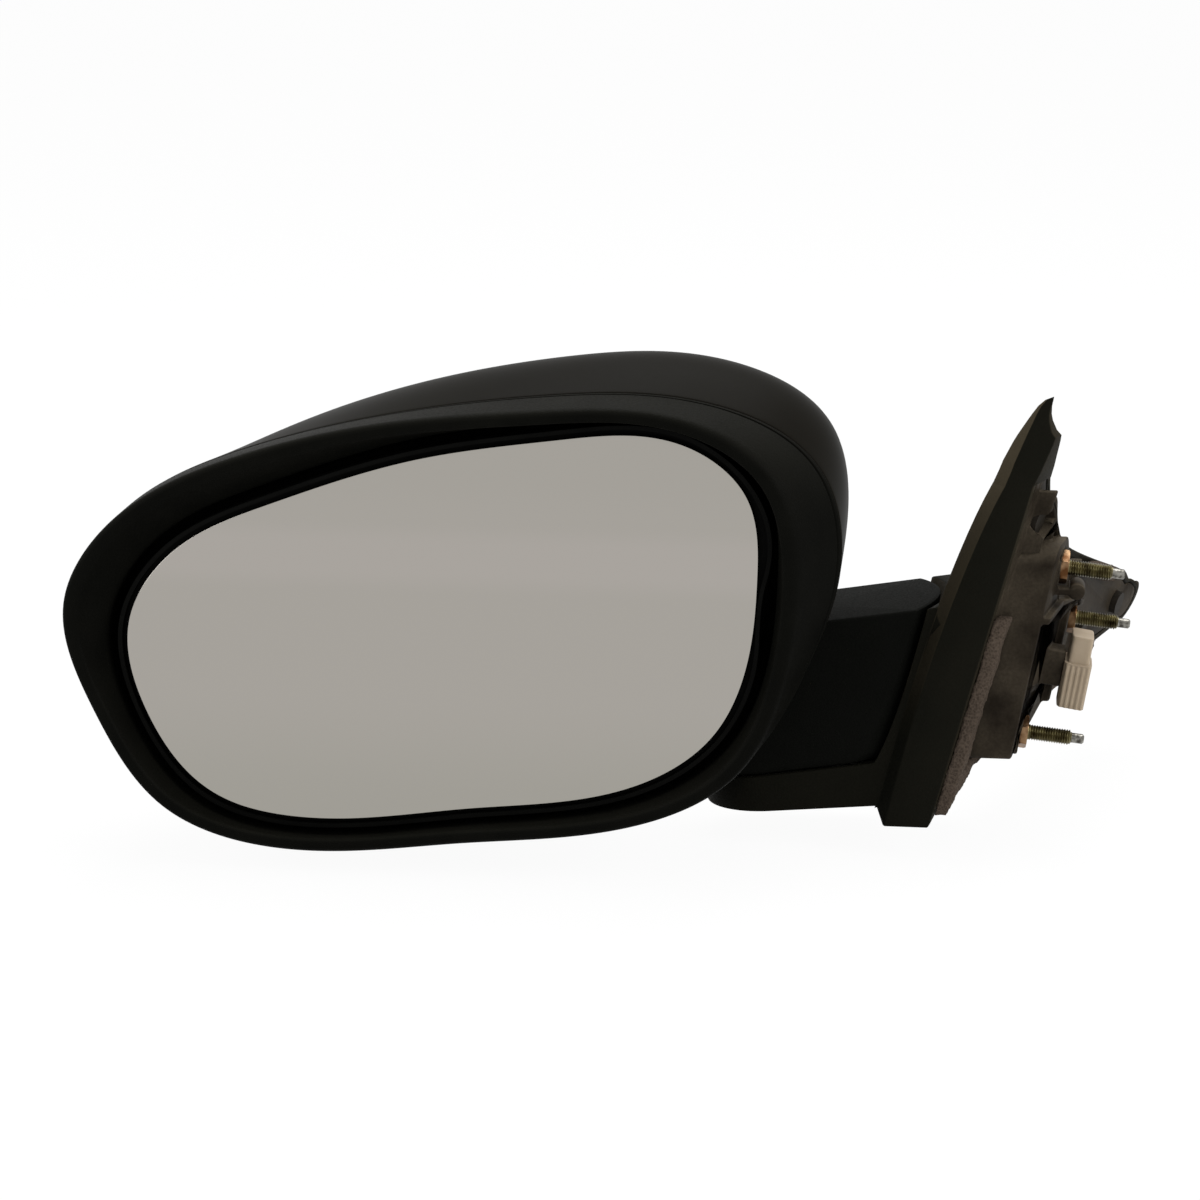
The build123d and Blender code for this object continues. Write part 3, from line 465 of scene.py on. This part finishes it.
# ---------------------------------------------------------------- mirror glass
# Flat silvered float glass, cut to the outline and ground round its edge. It is stuck to the
# holder by a foam pad, and the holder's black rim shows round it as a thin line.
mirror = Finish("silvered_glass", (0.362, 0.342, 0.314), metallic=1.0, roughness=0.03)
up_glass = mirror.node("ShaderNodeSeparateXYZ", {}, {0: mirror.place}, "Z")


def swell_of(value, low, high):
    """A value turned into a smooth step, 0 at its low end and 1 at its high one."""
    smooth = {"interpolation_type": "SMOOTHSTEP"}
    return mirror.node("ShaderNodeMapRange", smooth, {0: value, 1: low, 2: high, 3: 0.0, 4: 1.0})


# Painted reflection: the silvering is tinted darker at the bottom and top, with a lighter band in
# its upper half, standing in for the studio seen in the glass.
painted_reflection = 0.08 + 0.48 * swell_of(up_glass, -0.04, -0.005) - 0.14 * swell_of(up_glass, 0.05, 0.065)
painted_reflection = painted_reflection + 0.36 * (swell_of(up_glass, 0.026, 0.034) - swell_of(up_glass, 0.042, 0.05))
painted_reflection = painted_reflection + 0.1 * mirror.noise(9, 2, (0.25, 1, 3.2))
mirror.tint((0.342, 0.329, 0.294), (0.390, 0.366, 0.337), painted_reflection)

glass_thick, glass_flat, ground_r, back_r = 2.1, 0.98, 0.35, 0.2
glass_front = level(closed_line(glass_line), glass_y)
glass_back = level(closed_line(glass_line), glass_y + glass_thick)
glass_middle = np.array((-198.0, 0.0, 15.0))


def drawn_to(ring, share):
    """A ring drawn towards the middle of the glass in its own plane: middle + share times the
    way from there to the ring."""
    middle = np.array((glass_middle[0], ring[0, 1], glass_middle[2]))
    return middle + (ring - middle) * share


glass_rings = [
    (drawn_to(glass_front, 0), 0), (drawn_to(glass_front, glass_flat), 0), (glass_front, ground_r),
    (glass_back, back_r), (drawn_to(glass_back, glass_flat), 0), (drawn_to(glass_back, 0), 0),
]
glass_skin = skin(eased(*zip(*glass_rings), closed=False), closed=False)
glass = piece("mirror_glass_ground", *glass_skin, "glass", mirror, "mirror")
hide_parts("mirror_glass")

holder_black = Finish("holder_moulded", (0.003,) * 3, roughness=0.5, specular_ior_level=0.02)
holder_black.tint((0.0022, 0.0022, 0.002), (0.0045, 0.0045, 0.004), holder_black.noise(120, 3))
holder_black.bump(holder_black.noise(1500, 1), 0.00003, 0.3)
pad_foam = Finish("pad_foam", (0.05, 0.05, 0.05), roughness=0.9)
pad_foam.tint((0.035, 0.035, 0.035), (0.06, 0.06, 0.058), pad_foam.cells(900))
pad_foam.bump(pad_foam.cells(1100), 0.0002)


def coat(finish, *names):
    """Gives CAD nodes a finish in place of their packed one."""
    for name in names:
        mesh = nodes[name].data
        mesh.materials.clear()
        mesh.materials.append(finish.material)


coat(holder_black, "glass_holder")
coat(pad_foam, "glass_pad")

# ---------------------------------------------------------------- drive, frame and fold joint
# Behind the glass a round case holds two small motors with worms, gears and jackscrews, bolted
# to the head frame. The frame's hub turns on the hollow fold post under a coil spring.
nylon = Finish("frame_nylon", (0.02, 0.02, 0.02), roughness=0.55)
nylon.tint((0.014, 0.014, 0.014), (0.028, 0.028, 0.027), nylon.noise(160, 5))
nylon.bump(nylon.noise(900, 3), 0.00008)
acetal = Finish("acetal", (0.78, 0.77, 0.72), roughness=0.38)
acetal.tint((0.72, 0.71, 0.65), (0.8, 0.79, 0.75), acetal.noise(200, 3))
acetal.bump(acetal.noise(1400, 1), 0.00002)
steel = Finish("plain_steel", (0.5, 0.5, 0.49), metallic=1.0, roughness=0.34)
steel.tint((0.42, 0.42, 0.41), (0.56, 0.56, 0.55), steel.noise(500, 4, (1, 1, 0.2)))
steel.rough(0.26 + 0.2 * steel.noise(700, 3))
steel.bump(steel.noise(2400, 2, (1, 1, 0.1)), 0.00002)
oxide = Finish("black_oxide", (0.018, 0.015, 0.012), roughness=0.5, specular_ior_level=0.03)
oxide.tint((0.011, 0.0095, 0.0075), (0.026, 0.022, 0.017), oxide.noise(600, 4))
oxide.bump(oxide.noise(1800, 2), 0.00002)
coat(nylon, "head_frame", "drive_case", "drive_lid", "gimbal")
coat(acetal, "gear_pan", "gear_tilt", "jackscrew_pan", "jackscrew_tilt")
coat(steel, "motor_pan", "motor_tilt", "fold_post", "detent_ring", "detent_balls")
coat(steel, "spring_washer", "post_clip")
coat(oxide, "drive_screws", "bezel_screws", "cover_screws")

spring_foot, spring_top, coil_r, wire_r, coils, wire_sides = 18.4, 34.0, 9.4, 1.3, 4.5, 14


def coil(turn):
    """The spring's wire at a turn from 0 to its last: a circle round the fold axis that climbs by
    t - sin(2 pi t)/(2 pi) of its height, so that both ends lie flat. The wire closes at its
    ends."""
    share = turn / coils
    climb = share - np.sin(2 * np.pi * share) / (2 * np.pi)
    height = spring_foot + wire_r + (spring_top - spring_foot - 2 * wire_r) * climb
    out = np.array((np.cos(2 * np.pi * turn), np.sin(2 * np.pi * turn)))
    round_wire = np.linspace(0, 2 * np.pi, wire_sides + 1)[:-1, None]
    thick = wire_r * (0.0 if share in (0.0, 1.0) else 1.0)
    flat = out * (coil_r + thick * np.cos(round_wire))
    return on_fold(flat, height) + thick * np.sin(round_wire) * fold_up


wire_end, coil_points = 1e-4, 200
coil_turns = np.linspace(wire_end, coils - wire_end, coil_points)
coil_turns = np.concatenate([[0.0], coil_turns, [coils]])
coil_skin = skin([coil(turn) for turn in coil_turns], closed=False)
spring = piece("fold_coil", *coil_skin, "head", steel, "steel")
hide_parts("fold_spring")

# ---------------------------------------------------------------- neck
# Hollow grained moulding that turns with the head on the arm's top face: a round foot with a
# bevelled lower edge that flares upwards, a hole below for the hub and one for the frame's beam.
neck_seam, neck_wall, neck_bevel, hub_hole_r = 0.6, 2.6, 1.1, 17.4
neck_bevel_top, neck_waist = neck_seam + 2.4 * neck_bevel, 24.0
window_low, window_high = 27.7, 42.3


def hub_hole(height):
    """The hole for the hub: its radius times the direction of each of the neck's points from the
    fold axis."""
    flat = neck_ring(0) - fold_foot
    flat = np.stack([flat @ fold_out, flat[:, 1]], 1)
    return on_fold(hub_hole_r * flat / np.linalg.norm(flat, axis=1)[:, None], height)


def middle_of(ring):
    """A ring shrunk to its middle, which closes a stack."""
    return np.repeat(ring.mean(0)[None], len(ring), 0)


inner_top = neck_ring(neck_top - neck_wall, neck_wall)
inner_low = neck_ring(neck_seam + neck_wall, neck_wall)
neck_rings = [  # each with the radius of its corner
    (middle_of(inner_top), 0), (inner_top, 1.0), (inner_low, 0.6),
    (hub_hole(neck_seam + neck_wall), hole_edge_r), (hub_hole(neck_seam), hole_edge_r),
    (neck_ring(neck_seam, neck_bevel), 0.4), (neck_ring(neck_bevel_top), 0.9),
    (neck_ring(neck_waist), 4), (neck_ring(neck_top), 1.6), (middle_of(neck_ring(neck_top)), 0),
]
neck_dark, neck_light = (0.0036, 0.0038, 0.0032), (0.0074, 0.0076, 0.0066)
# The last number is the share of the painted top highlight on upward faces.
neck_black = moulded("neck_grained", neck_dark, neck_light, 0.006, 0.2)
neck_skin = skin(eased(*zip(*neck_rings), closed=False), closed=False)
neck = piece("neck_shell", *neck_skin, "head", neck_black, "textured_black")
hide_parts("neck_cover")
beam_window = np.array(((-30, -12.3), (-60, -12.3), (-60, 8.3), (-30, 8.3)))
cut(neck, [on_fold(beam_window, height) for height in (window_low, window_high)])

# ---------------------------------------------------------------- arm and sail
# One grained moulding covers the casting and stands against the door. The arm is a hollow box
# with a round end and a pocket for the neck. The sail is a thin shell with bosses for screws, and
# its thin notched tip is drawn from its own sections.
sail_taper = np.tan(np.radians(20))
lobe_low, lobe_thin, lobe_thin_from, lobe_thin_over = -20.0, 0.28, 100.0, 12.0
lobe_back, lobe_back_from, lobe_back_over = 5.0, 90.0, 31.0


def lobe_drawn(points):
    """Draws the sail's lobe in towards its nose, in millimetres. Its height above its low edge
    shrinks by a share, and it goes back along the sail's taper by an amount, each times its own
    smooth step t^2 (3 - 2t), where t is the way along Y from a place over a length."""

    def smooth_step(start, over):
        share = np.clip((points[:, 1] - start) / over, 0, 1)
        return share**2 * (3 - 2 * share)

    thin = smooth_step(lobe_thin_from, lobe_thin_over)
    back = smooth_step(lobe_back_from, lobe_back_over)
    points[:, 2] += (lobe_low - points[:, 2]) * lobe_thin * thin
    points[:, :2] -= lobe_back * back[:, None] * (sail_taper, 1)
    return points


flat_within, bevel_above = np.radians(0.05), 32  # in radians, in degrees


def rounded(name, node, body, finish, width, top=None):
    """A CAD node's shape with rounded edges, and the sail's lobe drawn in. Its triangles are
    merged back into flat faces, and each edge sharper than an angle is bevelled by a width.
    Above a top it is cut off and closed."""
    mesh = nodes[node].data.copy()
    made = bmesh.new()
    made.from_mesh(mesh)
    bmesh.ops.remove_doubles(made, verts=made.verts, dist=weld_gap)
    if top:
        plane = {"plane_co": (0, 0, top / metre), "plane_no": (0, 0, 1), "clear_outer": True}
        bmesh.ops.bisect_plane(made, geom=made.verts[:] + made.edges[:] + made.faces[:], **plane)
        bmesh.ops.holes_fill(made, edges=[edge for edge in made.edges if edge.is_boundary])
    bmesh.ops.dissolve_limit(made, angle_limit=flat_within, verts=made.verts, edges=made.edges)
    made.to_mesh(mesh)
    made.free()
    thing = dressed(name, mesh, body, finish)
    edges = thing.modifiers.new("edges", "BEVEL")
    edges.width, edges.segments, edges.limit_method = width / metre, 2, "ANGLE"
    edges.angle_limit, edges.use_clamp_overlap = np.radians(bevel_above), False
    settled(thing, bevel_above)
    spots = np.empty(3 * len(thing.data.vertices))
    thing.data.vertices.foreach_get("co", spots)
    spots = lobe_drawn(spots.reshape(-1, 3) * metre).ravel() / metre
    thing.data.vertices.foreach_set("co", spots)
    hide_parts(node)


# The second colour is a painted highlight: the brown that lit faces of the sail take.
sail_dark, sail_highlight = (0.0064, 0.0064, 0.0047), (0.06, 0.049, 0.032)
sail_black = Finish("sail_grained", sail_dark, roughness=0.5, specular_ior_level=0.012)
sail_grain = sail_black.cells(1500)
# Painted highlight: the chamfer turned to the left lamp, the inner face turned to the right lamp,
# and the sail higher up are tinted lighter brown.
chamfer, inward = sail_black.facing((-0.75, -0.6, 0.3)), sail_black.facing((0.9, -0.33, 0.24))
up_sail = sail_black.node("ShaderNodeSeparateXYZ", {}, {0: sail_black.place}, "Z")
painted_highlight = sail_black.steps(chamfer, 0.84, 0.93) * (0.6 + 0.5 * sail_black.noise(30, 3))
painted_highlight = painted_highlight * (0.25 + 12 * up_sail) + 0.3 * sail_black.steps(inward, 0.7, 0.95)
sail_black.tint(sail_dark, sail_highlight, painted_highlight + 0.06 * sail_black.noise(70, 4))
sail_black.rough(0.44 + 0.16 * sail_grain)
sail_black.bump(sail_grain, 0.00009, 0.5)
sail_edge, sail_top = 0.5, 60.0
rounded("sail_shell", "sail_cover", "base", sail_black, sail_edge, sail_top)

tip_foot, sail_rear = 58.8, -38.02
tip_at = (tip_foot, 63, 66, 72, 74.2, 76, 79.2, 81.4, 84, 86, 87.1)
tip_outer_x = (-24.95, -23.3, -22.3, -19.9, -19.0, -18.3, -16.9, -16.0, -14.7, -13.0, -10.9)
tip_inner_x = (-16.2, -14.2, -13.0, -10.6, -9.9, -11.1, -11.9, -12.0, -11.6, -11.0, -10.7)
tip_front_y = (-22.8, -25.7, -27.6, -31.2, -32.4, -33.2, -34.6, -35.5, -36.5, -37.3, -37.9)
tip_chamfer = (1.0, 0.97, 0.94, 0.8, 0.72, 0.62, 0.47, 0.34, 0.21, 0.1, 0.0)
tip_lines = (tip_outer_x, tip_inner_x, tip_front_y, tip_chamfer)
chamfer_out, chamfer_on, tip_least, tip_corner_r = 3.8, 4.8, 0.05, 0.6


def tip_ring(height, share=1.0):
    """The sail's section near its tip, a pentagon with eased corners: the rear face between two
    lines that close at the tip with a notch towards the door, the chamfer, and the outer and
    inner faces that run forward along the taper to the front edge. A share below 1 shrinks it
    about its middle."""
    outer, inner, front, cut_off = (np.interp(height, tip_at, line) for line in tip_lines)
    side = (outer - chamfer_out * cut_off, sail_rear + chamfer_on * cut_off)
    front = max(front, side[1] + tip_least)
    corners = np.array([
        (inner, sail_rear), (outer, sail_rear), side,
        (side[0] + sail_taper * (front - side[1]), front),
        (inner + sail_taper * (front - sail_rear), front),
    ])
    corners = corners.mean(0) + (corners - corners.mean(0)) * share
    line = np.concatenate(eased([corner[None] for corner in corners], [tip_corner_r] * 5))
    return np.column_stack([line, np.full(len(line), float(height))])


tip_heights = np.unique(np.concatenate([tip_at, np.linspace(tip_foot, tip_at[-1], 40)]))
tip_stack = [tip_ring(height) for height in tip_heights]
tip_stack = [tip_ring(tip_foot, 0.0), *tip_stack, tip_ring(tip_at[-1], 0.0)]
piece("sail_tip", *skin(tip_stack, closed=False), "base", sail_black, "textured_black", sharp=28)

# ---------------------------------------------------------------- gasket
# Closed-cell foam strip that seals the sail's edge against the door, along its lower part only.
# It is cut from sheet and stuck on, and its edges are a little ragged.
foam = Finish("door_foam", (0.03, 0.022, 0.017), roughness=0.92, specular_ior_level=0.08)
foam_cell = foam.cells(1300)
foam.tint((0.022, 0.0165, 0.0125), (0.082, 0.062, 0.047), foam_cell + 0.4 * foam.noise(90, 4))
foam.bump(foam_cell, 0.00025)
foam.bump(foam.noise(160, 4), 0.0006, 0.6)
foam_voxel, foam_rounds, ragged_over, ragged_by = 0.7, 2, 5.0, 1.4


def ragged(name, node, body, finish):
    """A CAD node's shape with soft ragged edges: its mesh is merged, wrapped again by an even
    skin of cells, pushed about by clouds and smoothed a few rounds."""
    mesh = nodes[node].data.copy()
    made = bmesh.new()
    made.from_mesh(mesh)
    bmesh.ops.remove_doubles(made, verts=made.verts, dist=weld_gap)
    made.to_mesh(mesh)
    made.free()
    thing = dressed(name, mesh, body, finish)
    wrap = thing.modifiers.new("wrap", "REMESH")
    wrap.mode, wrap.voxel_size, wrap.use_smooth_shade = "VOXEL", foam_voxel / metre, True
    clouds = bpy.data.textures.new(name, "CLOUDS")
    clouds.noise_scale = ragged_over / metre
    push = thing.modifiers.new("wander", "DISPLACE")
    push.texture, push.strength, push.texture_coords = clouds, ragged_by / metre, "LOCAL"
    ease = thing.modifiers.new("ease", "SMOOTH")
    ease.factor, ease.iterations = 0.5, foam_rounds
    settled(thing, 180)
    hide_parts(node)


ragged("gasket_strip", "door_gasket", "base", foam)

# ---------------------------------------------------------------- casting
# Die-cast zinc-aluminium bracket that carries the head: left as cast, dull grey-brown, with a
# domed middle, thin ribs, and bosses for the studs and cover screws.
cast = Finish("as_cast", (0.012, 0.0095, 0.007), roughness=0.6, specular_ior_level=0.02)
# The paler colour goes over a random cloud of tone and, as a painted highlight, over faces that
# look up to the light above; fine grit speckles both.
cast_cloud, grit, upward = cast.noise(60, 5), cast.noise(1000, 3), cast.facing((0.3, -0.3, 0.9))
mottle_and_painted_top_light = 0.4 * cast.steps(cast_cloud, 0.36, 0.66) + 0.6 * cast.steps(upward, 0.35, 0.9)
mottle_and_painted_top_light = (mottle_and_painted_top_light + 0.1) * (0.45 + 0.9 * grit)
cast.tint((0.0065, 0.0047, 0.0032), (0.085, 0.069, 0.049), mottle_and_painted_top_light)
cast.rough(0.42 + 0.25 * cast_cloud)
cast.bump(cast.noise(900, 4), 0.00012)
cast.bump(cast_cloud, 0.0008, 0.5)
casting_edge = 0.6
rounded("casting_rough", "base_casting", "base", cast, casting_edge)

# ---------------------------------------------------------------- studs
# Three M5 studs pressed into the casting: yellow zinc plate over a rolled thread, a bare
# dog point at the tip, and a reddish hex collar that was plated and rubbed.
zinc = Finish("yellow_zinc", (0.3, 0.25, 0.13), metallic=1.0, roughness=0.34)
zinc_cloud = zinc.noise(340, 4)
zinc.tint((0.04, 0.03, 0.013), (0.2, 0.175, 0.085), zinc.steps(zinc_cloud, 0.3, 0.7))
zinc.rough(0.24 + 0.25 * zinc_cloud)
zinc.bump(zinc.noise(2200, 2), 0.00003)
collar_gold = Finish("rubbed_gold", (0.34, 0.19, 0.09), metallic=1.0, roughness=0.36)
rub = collar_gold.noise(260, 4)
collar_gold.tint((0.085, 0.037, 0.014), (0.3, 0.19, 0.105), collar_gold.steps(rub, 0.35, 0.65))
collar_gold.rough(0.26 + 0.25 * rub)
collar_gold.bump(collar_gold.noise(1800, 2), 0.00004)
tip_bare = Finish("bare_tip", (0.22, 0.21, 0.19), metallic=1.0, roughness=0.3)
tip_cloud = tip_bare.steps(tip_bare.noise(700, 3), 0.35, 0.65)
tip_bare.tint((0.05, 0.046, 0.038), (0.3, 0.29, 0.26), tip_cloud)
tip_bare.bump(tip_bare.noise(2600, 2), 0.00002)

droop, stud_circle_r, stud_seats = np.radians(6), 32.0, (-3.4, -9.9, -15.3)
stud_way = np.array((np.cos(droop), 0, -np.sin(droop)))
stud_rise = np.cross(stud_way, forward)
thread_r, thread_pitch, thread_depth, thread_flat = 2.5, 0.8, 0.42, 0.125
thread_fade, thread_stop = 1.2, 0.6
collar_length, thread_end, stud_length, tip_r, tip_chamfered = 2.5, 16.5, 20.5, 1.6, 0.5
thread_chamfer, hex_flat, hex_cone_r, hex_cone, hex_edge = 0.7, 4.8, 5.2, 0.9, 0.02


def turned(name, finish, slot, radius, stations, around):
    """One shape on each stud: a grid of stations along it and angles round it, at a radius that
    is a function of both, drawn to the axis at both ends."""
    points, faces = [], []
    circle = np.linspace(0, 2 * np.pi, around + 1)[:-1]
    along, angle = np.meshgrid(stations, circle, indexing="ij")
    far = radius(along, angle)
    far[[0, -1]] = 0
    side, rise = (far * np.cos(angle))[..., None], (far * np.sin(angle))[..., None]
    for number, seat in enumerate(stud_seats):
        turn = 2 * np.pi * number / len(stud_seats)
        foot = stud_circle_r * (np.cos(turn) * forward + np.sin(turn) * stud_rise)
        foot = foot + seat * stud_way
        grid = foot + along[..., None] * stud_way + side * forward + rise * stud_rise
        spots, quads = skin(grid, closed=False)
        faces.append(quads + sum(map(len, points)))
        points.append(spots)
    points, faces = np.concatenate(points), np.concatenate(faces)
    return piece(name, points, faces, "base", finish, slot, sharp=40)


def thread(along, angle):
    """Rolled thread: the outside radius less a depth times the triangle wave of
    along/pitch - angle/2pi with flat crests, faded out at both ends, with a chamfer at the tip."""
    phase = (along / thread_pitch - angle / (2 * np.pi)) % 1
    wave = np.clip((1 + 2 * thread_flat) * np.abs(2 * phase - 1) - thread_flat, 0, 1)
    fade = np.clip((along - collar_length) / thread_fade, 0, 1)
    fade = fade * np.clip((thread_end + thread_stop / 2 - along) / thread_stop, 0, 1)
    chamfer = np.clip(thread_end - along, 0, thread_chamfer) - thread_chamfer
    return thread_r - thread_depth * wave * fade + chamfer


def hex_collar(along, angle):
    """A hexagon, flat / cos(angle from the middle of its side), with its corners turned off by
    cones at both faces."""
    corner = (angle + np.pi / 6) % (np.pi / 3) - np.pi / 6
    cone = hex_cone_r + np.minimum(along + hex_edge, collar_length - along + hex_edge) * hex_cone
    return np.minimum(hex_flat / np.cos(corner), cone)


def dog_tip(along, angle):
    """A plain point: its radius, or that less the chamfer plus the way to the end, whichever is
    smaller."""
    return np.minimum(tip_r + 0 * angle, tip_r - tip_chamfered + (stud_length - along))


thread_step = 0.1
thread_stations = np.arange(thread_step, thread_end, thread_step)
thread_stations = np.concatenate([[0, 0], thread_stations, [thread_end, thread_end]])
threads = turned("stud_threads", zinc, "yellow_zinc", thread, thread_stations, 40)
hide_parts("mounting_studs")
collar_stations = (0, 0, 0.25, 0.5, 0.75, 1.75, 2, 2.25, collar_length, collar_length)
turned("stud_collars", collar_gold, "yellow_zinc", hex_collar, collar_stations, 48)
tip_root = thread_end - 0.5
tip_stations = (tip_root, tip_root, thread_end, stud_length - tip_chamfered, stud_length - 0.2)
tip_stations = (*tip_stations, stud_length, stud_length)
turned("stud_tips", tip_bare, "yellow_zinc", dog_tip, tip_stations, 32)

# ---------------------------------------------------------------- connector
# White nylon plug housing on its seat of the casting: a plain top, a step, then a ribbed skirt
# that is open below, with six tinned brass blades inside.
white = Finish("white_nylon", (0.4, 0.32, 0.23), roughness=0.45, specular_ior_level=0.2)
white.tint((0.28, 0.215, 0.145), (0.47, 0.38, 0.275), white.noise(90, 3))
white.bump(white.noise(900, 2), 0.00004)
brass = Finish("tinned_blade", (0.7, 0.6, 0.38), metallic=1.0, roughness=0.3)
brass.tint((0.55, 0.45, 0.27), (0.75, 0.68, 0.5), brass.noise(900, 3))
brass.bump(brass.noise(2000, 2), 0.00002)

plug_middle, plug_turn = np.array((-0.5, 2.0, -9.5)), np.radians(9)
plug_across = np.array((np.cos(plug_turn), 0, -np.sin(plug_turn)))
plug_up = np.array((np.sin(plug_turn), 0, np.cos(plug_turn)))
plug_half, plug_deep, plug_wall, squareness = (4.5, 7.0), 12.0, 1.6, 7
rib_pitch, rib_depth, rib_flat, plug_points = 1.75, 0.22, 1.6, 280


def plug_ring(height, inset, ribbed=0.0):
    """The housing's section: a rounded box |x/a|^n + |y/b|^n = 1 of squareness n, drawn in by an
    inset and grooved by a depth times a flattened cosine of the way along its sides."""
    angle = np.linspace(0, 2 * np.pi, plug_points + 1)[:-1]
    a, b = plug_half[0] - inset, plug_half[1] - inset
    way = np.stack([np.cos(angle), np.sin(angle)], 1)
    far = np.abs(way[:, 0] / a) ** squareness + np.abs(way[:, 1] / b) ** squareness
    far = far ** (-1 / squareness)
    flat = way * far[:, None]
    along = np.where(np.abs(flat[:, 0]) / a > np.abs(flat[:, 1]) / b, flat[:, 1], flat[:, 0])
    groove = np.clip(rib_flat * np.cos(2 * np.pi * along / rib_pitch), -1, 1) * 0.5 + 0.5
    flat = flat * (1 - ribbed * (1 - groove)[:, None] / far[:, None])
    return plug_middle + flat[:, :1] * plug_across + flat[:, 1:] * forward + height * plug_up


plug_step, plug_floor, plug_top_inset = 3.0, 1.0, 1.0
plug_rings = [  # each with the radius of its corner
    (middle_of(plug_ring(plug_floor, plug_wall)), 0), (plug_ring(plug_floor, plug_wall), 0.4),
    (plug_ring(-plug_deep, plug_wall), 0.2), (plug_ring(-plug_deep, 0.1, rib_depth), 0.3),
    (plug_ring(plug_step - 0.8, 0, rib_depth), 0.2), (plug_ring(plug_step - 0.4, 0), 0.1),
    (plug_ring(plug_step, 0), 0.3), (plug_ring(plug_step + 0.1, 0.9), 0.2),
    (plug_ring(plug_deep, plug_top_inset), 0.5),
    (middle_of(plug_ring(plug_deep, plug_top_inset)), 0),
]
plug_skin = skin(eased(*zip(*plug_rings), closed=False), closed=False)
plug = piece("connector_shell", *plug_skin, "base", white, "white_nylon")
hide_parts("connector_housing")
coat(brass, "connector_terminals")

# ---------------------------------------------------------------- studio
# A pale sweep under the mirror, a large soft light over it, one at each side, and the camera
# behind the car, a little inboard and above.
box_low = cad_box[0]
floor_size, floor_drop = 60, 0.004
floor_at = (box_low.x * 0.5, 0, box_low.z - floor_drop)
bpy.ops.mesh.primitive_plane_add(size=floor_size, location=floor_at)
floor = bpy.context.object
floor.name = "studio_floor"


def seen_white(tree, other):
    """A Mix Shader that shows its second shader to camera, glossy and transmission rays, and
    another to the rest."""
    path = tree.nodes.new("ShaderNodeLightPath")
    seen = path.outputs["Is Camera Ray"]
    for ray in ("Is Glossy Ray", "Is Transmission Ray"):
        either = tree.nodes.new("ShaderNodeMath")
        either.operation, either.use_clamp = "ADD", True
        tree.links.new(seen, either.inputs[0])
        tree.links.new(path.outputs[ray], either.inputs[1])
        seen = either.outputs[0]
    mix = tree.nodes.new("ShaderNodeMixShader")
    tree.links.new(seen, mix.inputs[0])
    tree.links.new(other, mix.inputs[1])
    return mix


paper = bpy.data.materials.new("studio_paper")
paper.use_nodes = True
tree = paper.node_tree
matte = tree.nodes["Principled BSDF"]
matte.inputs["Base Color"].default_value = (0.8, 0.8, 0.8, 1)
matte.inputs["Roughness"].default_value = 1
mix = seen_white(tree, matte.outputs[0])
glow = tree.nodes.new("ShaderNodeEmission")
glow.inputs["Strength"].default_value = 1.02
glow_share = 0.93
soft = tree.nodes.new("ShaderNodeMixShader")
soft.inputs[0].default_value = glow_share
tree.links.new(matte.outputs[0], soft.inputs[1])
tree.links.new(glow.outputs[0], soft.inputs[2])
tree.links.new(soft.outputs[0], mix.inputs[2])
tree.links.new(mix.outputs[0], tree.nodes["Material Output"].inputs[0])
floor.data.materials.append(paper)

world = bpy.data.worlds.new("studio")
bpy.context.scene.world = world
world.use_nodes = True
tree = world.node_tree
ambient = tree.nodes["Background"]
ambient.inputs["Color"].default_value = (1, 1, 1, 1)
ambient.inputs["Strength"].default_value = 0.5
mix = seen_white(tree, ambient.outputs[0])
bright = tree.nodes.new("ShaderNodeBackground")
bright.inputs["Color"].default_value = (1, 1, 1, 1)
tree.links.new(bright.outputs[0], mix.inputs[2])
tree.links.new(mix.outputs[0], tree.nodes["World Output"].inputs[0])


def lamp(name, place, aim, size, power):
    """A soft square light at a place in metres, turned to a point."""
    light = bpy.data.lights.new(name, "AREA")
    light.shape, light.size, light.energy = "SQUARE", size, power
    thing = bpy.data.objects.new(name, light)
    thing.location = place
    thing.rotation_euler = (Vector(aim) - Vector(place)).to_track_quat("-Z", "Y").to_euler()
    bpy.context.scene.collection.objects.link(thing)


middle = (-0.15, -0.01, 0.02)
lamp("top_light", (-0.1, 0.35, 1.3), middle, 1.0, 14)
lamp("left_light", (-1.3, -0.7, 0.5), middle, 0.8, 5)
lamp("right_light", (1.0, -0.6, 0.7), middle, 0.7, 8)

aim = Vector((-0.1485, -0.0586, 0.0238))
turn, rise, distance = np.radians(7), np.radians(14), 1.1
back = Vector((np.sin(turn) * np.cos(rise), -np.cos(turn) * np.cos(rise), np.sin(rise)))
camera = bpy.data.objects.new("camera", bpy.data.cameras.new("camera"))
camera.data.sensor_width, camera.data.lens = 36.0, 106.45
camera.location = aim + back * distance
camera.rotation_euler = (-back).to_track_quat("-Z", "Y").to_euler()
bpy.context.scene.collection.objects.link(camera)
bpy.context.scene.camera = camera
bpy.context.scene.view_settings.view_transform = "Standard"

bpy.context.view_layer.update()
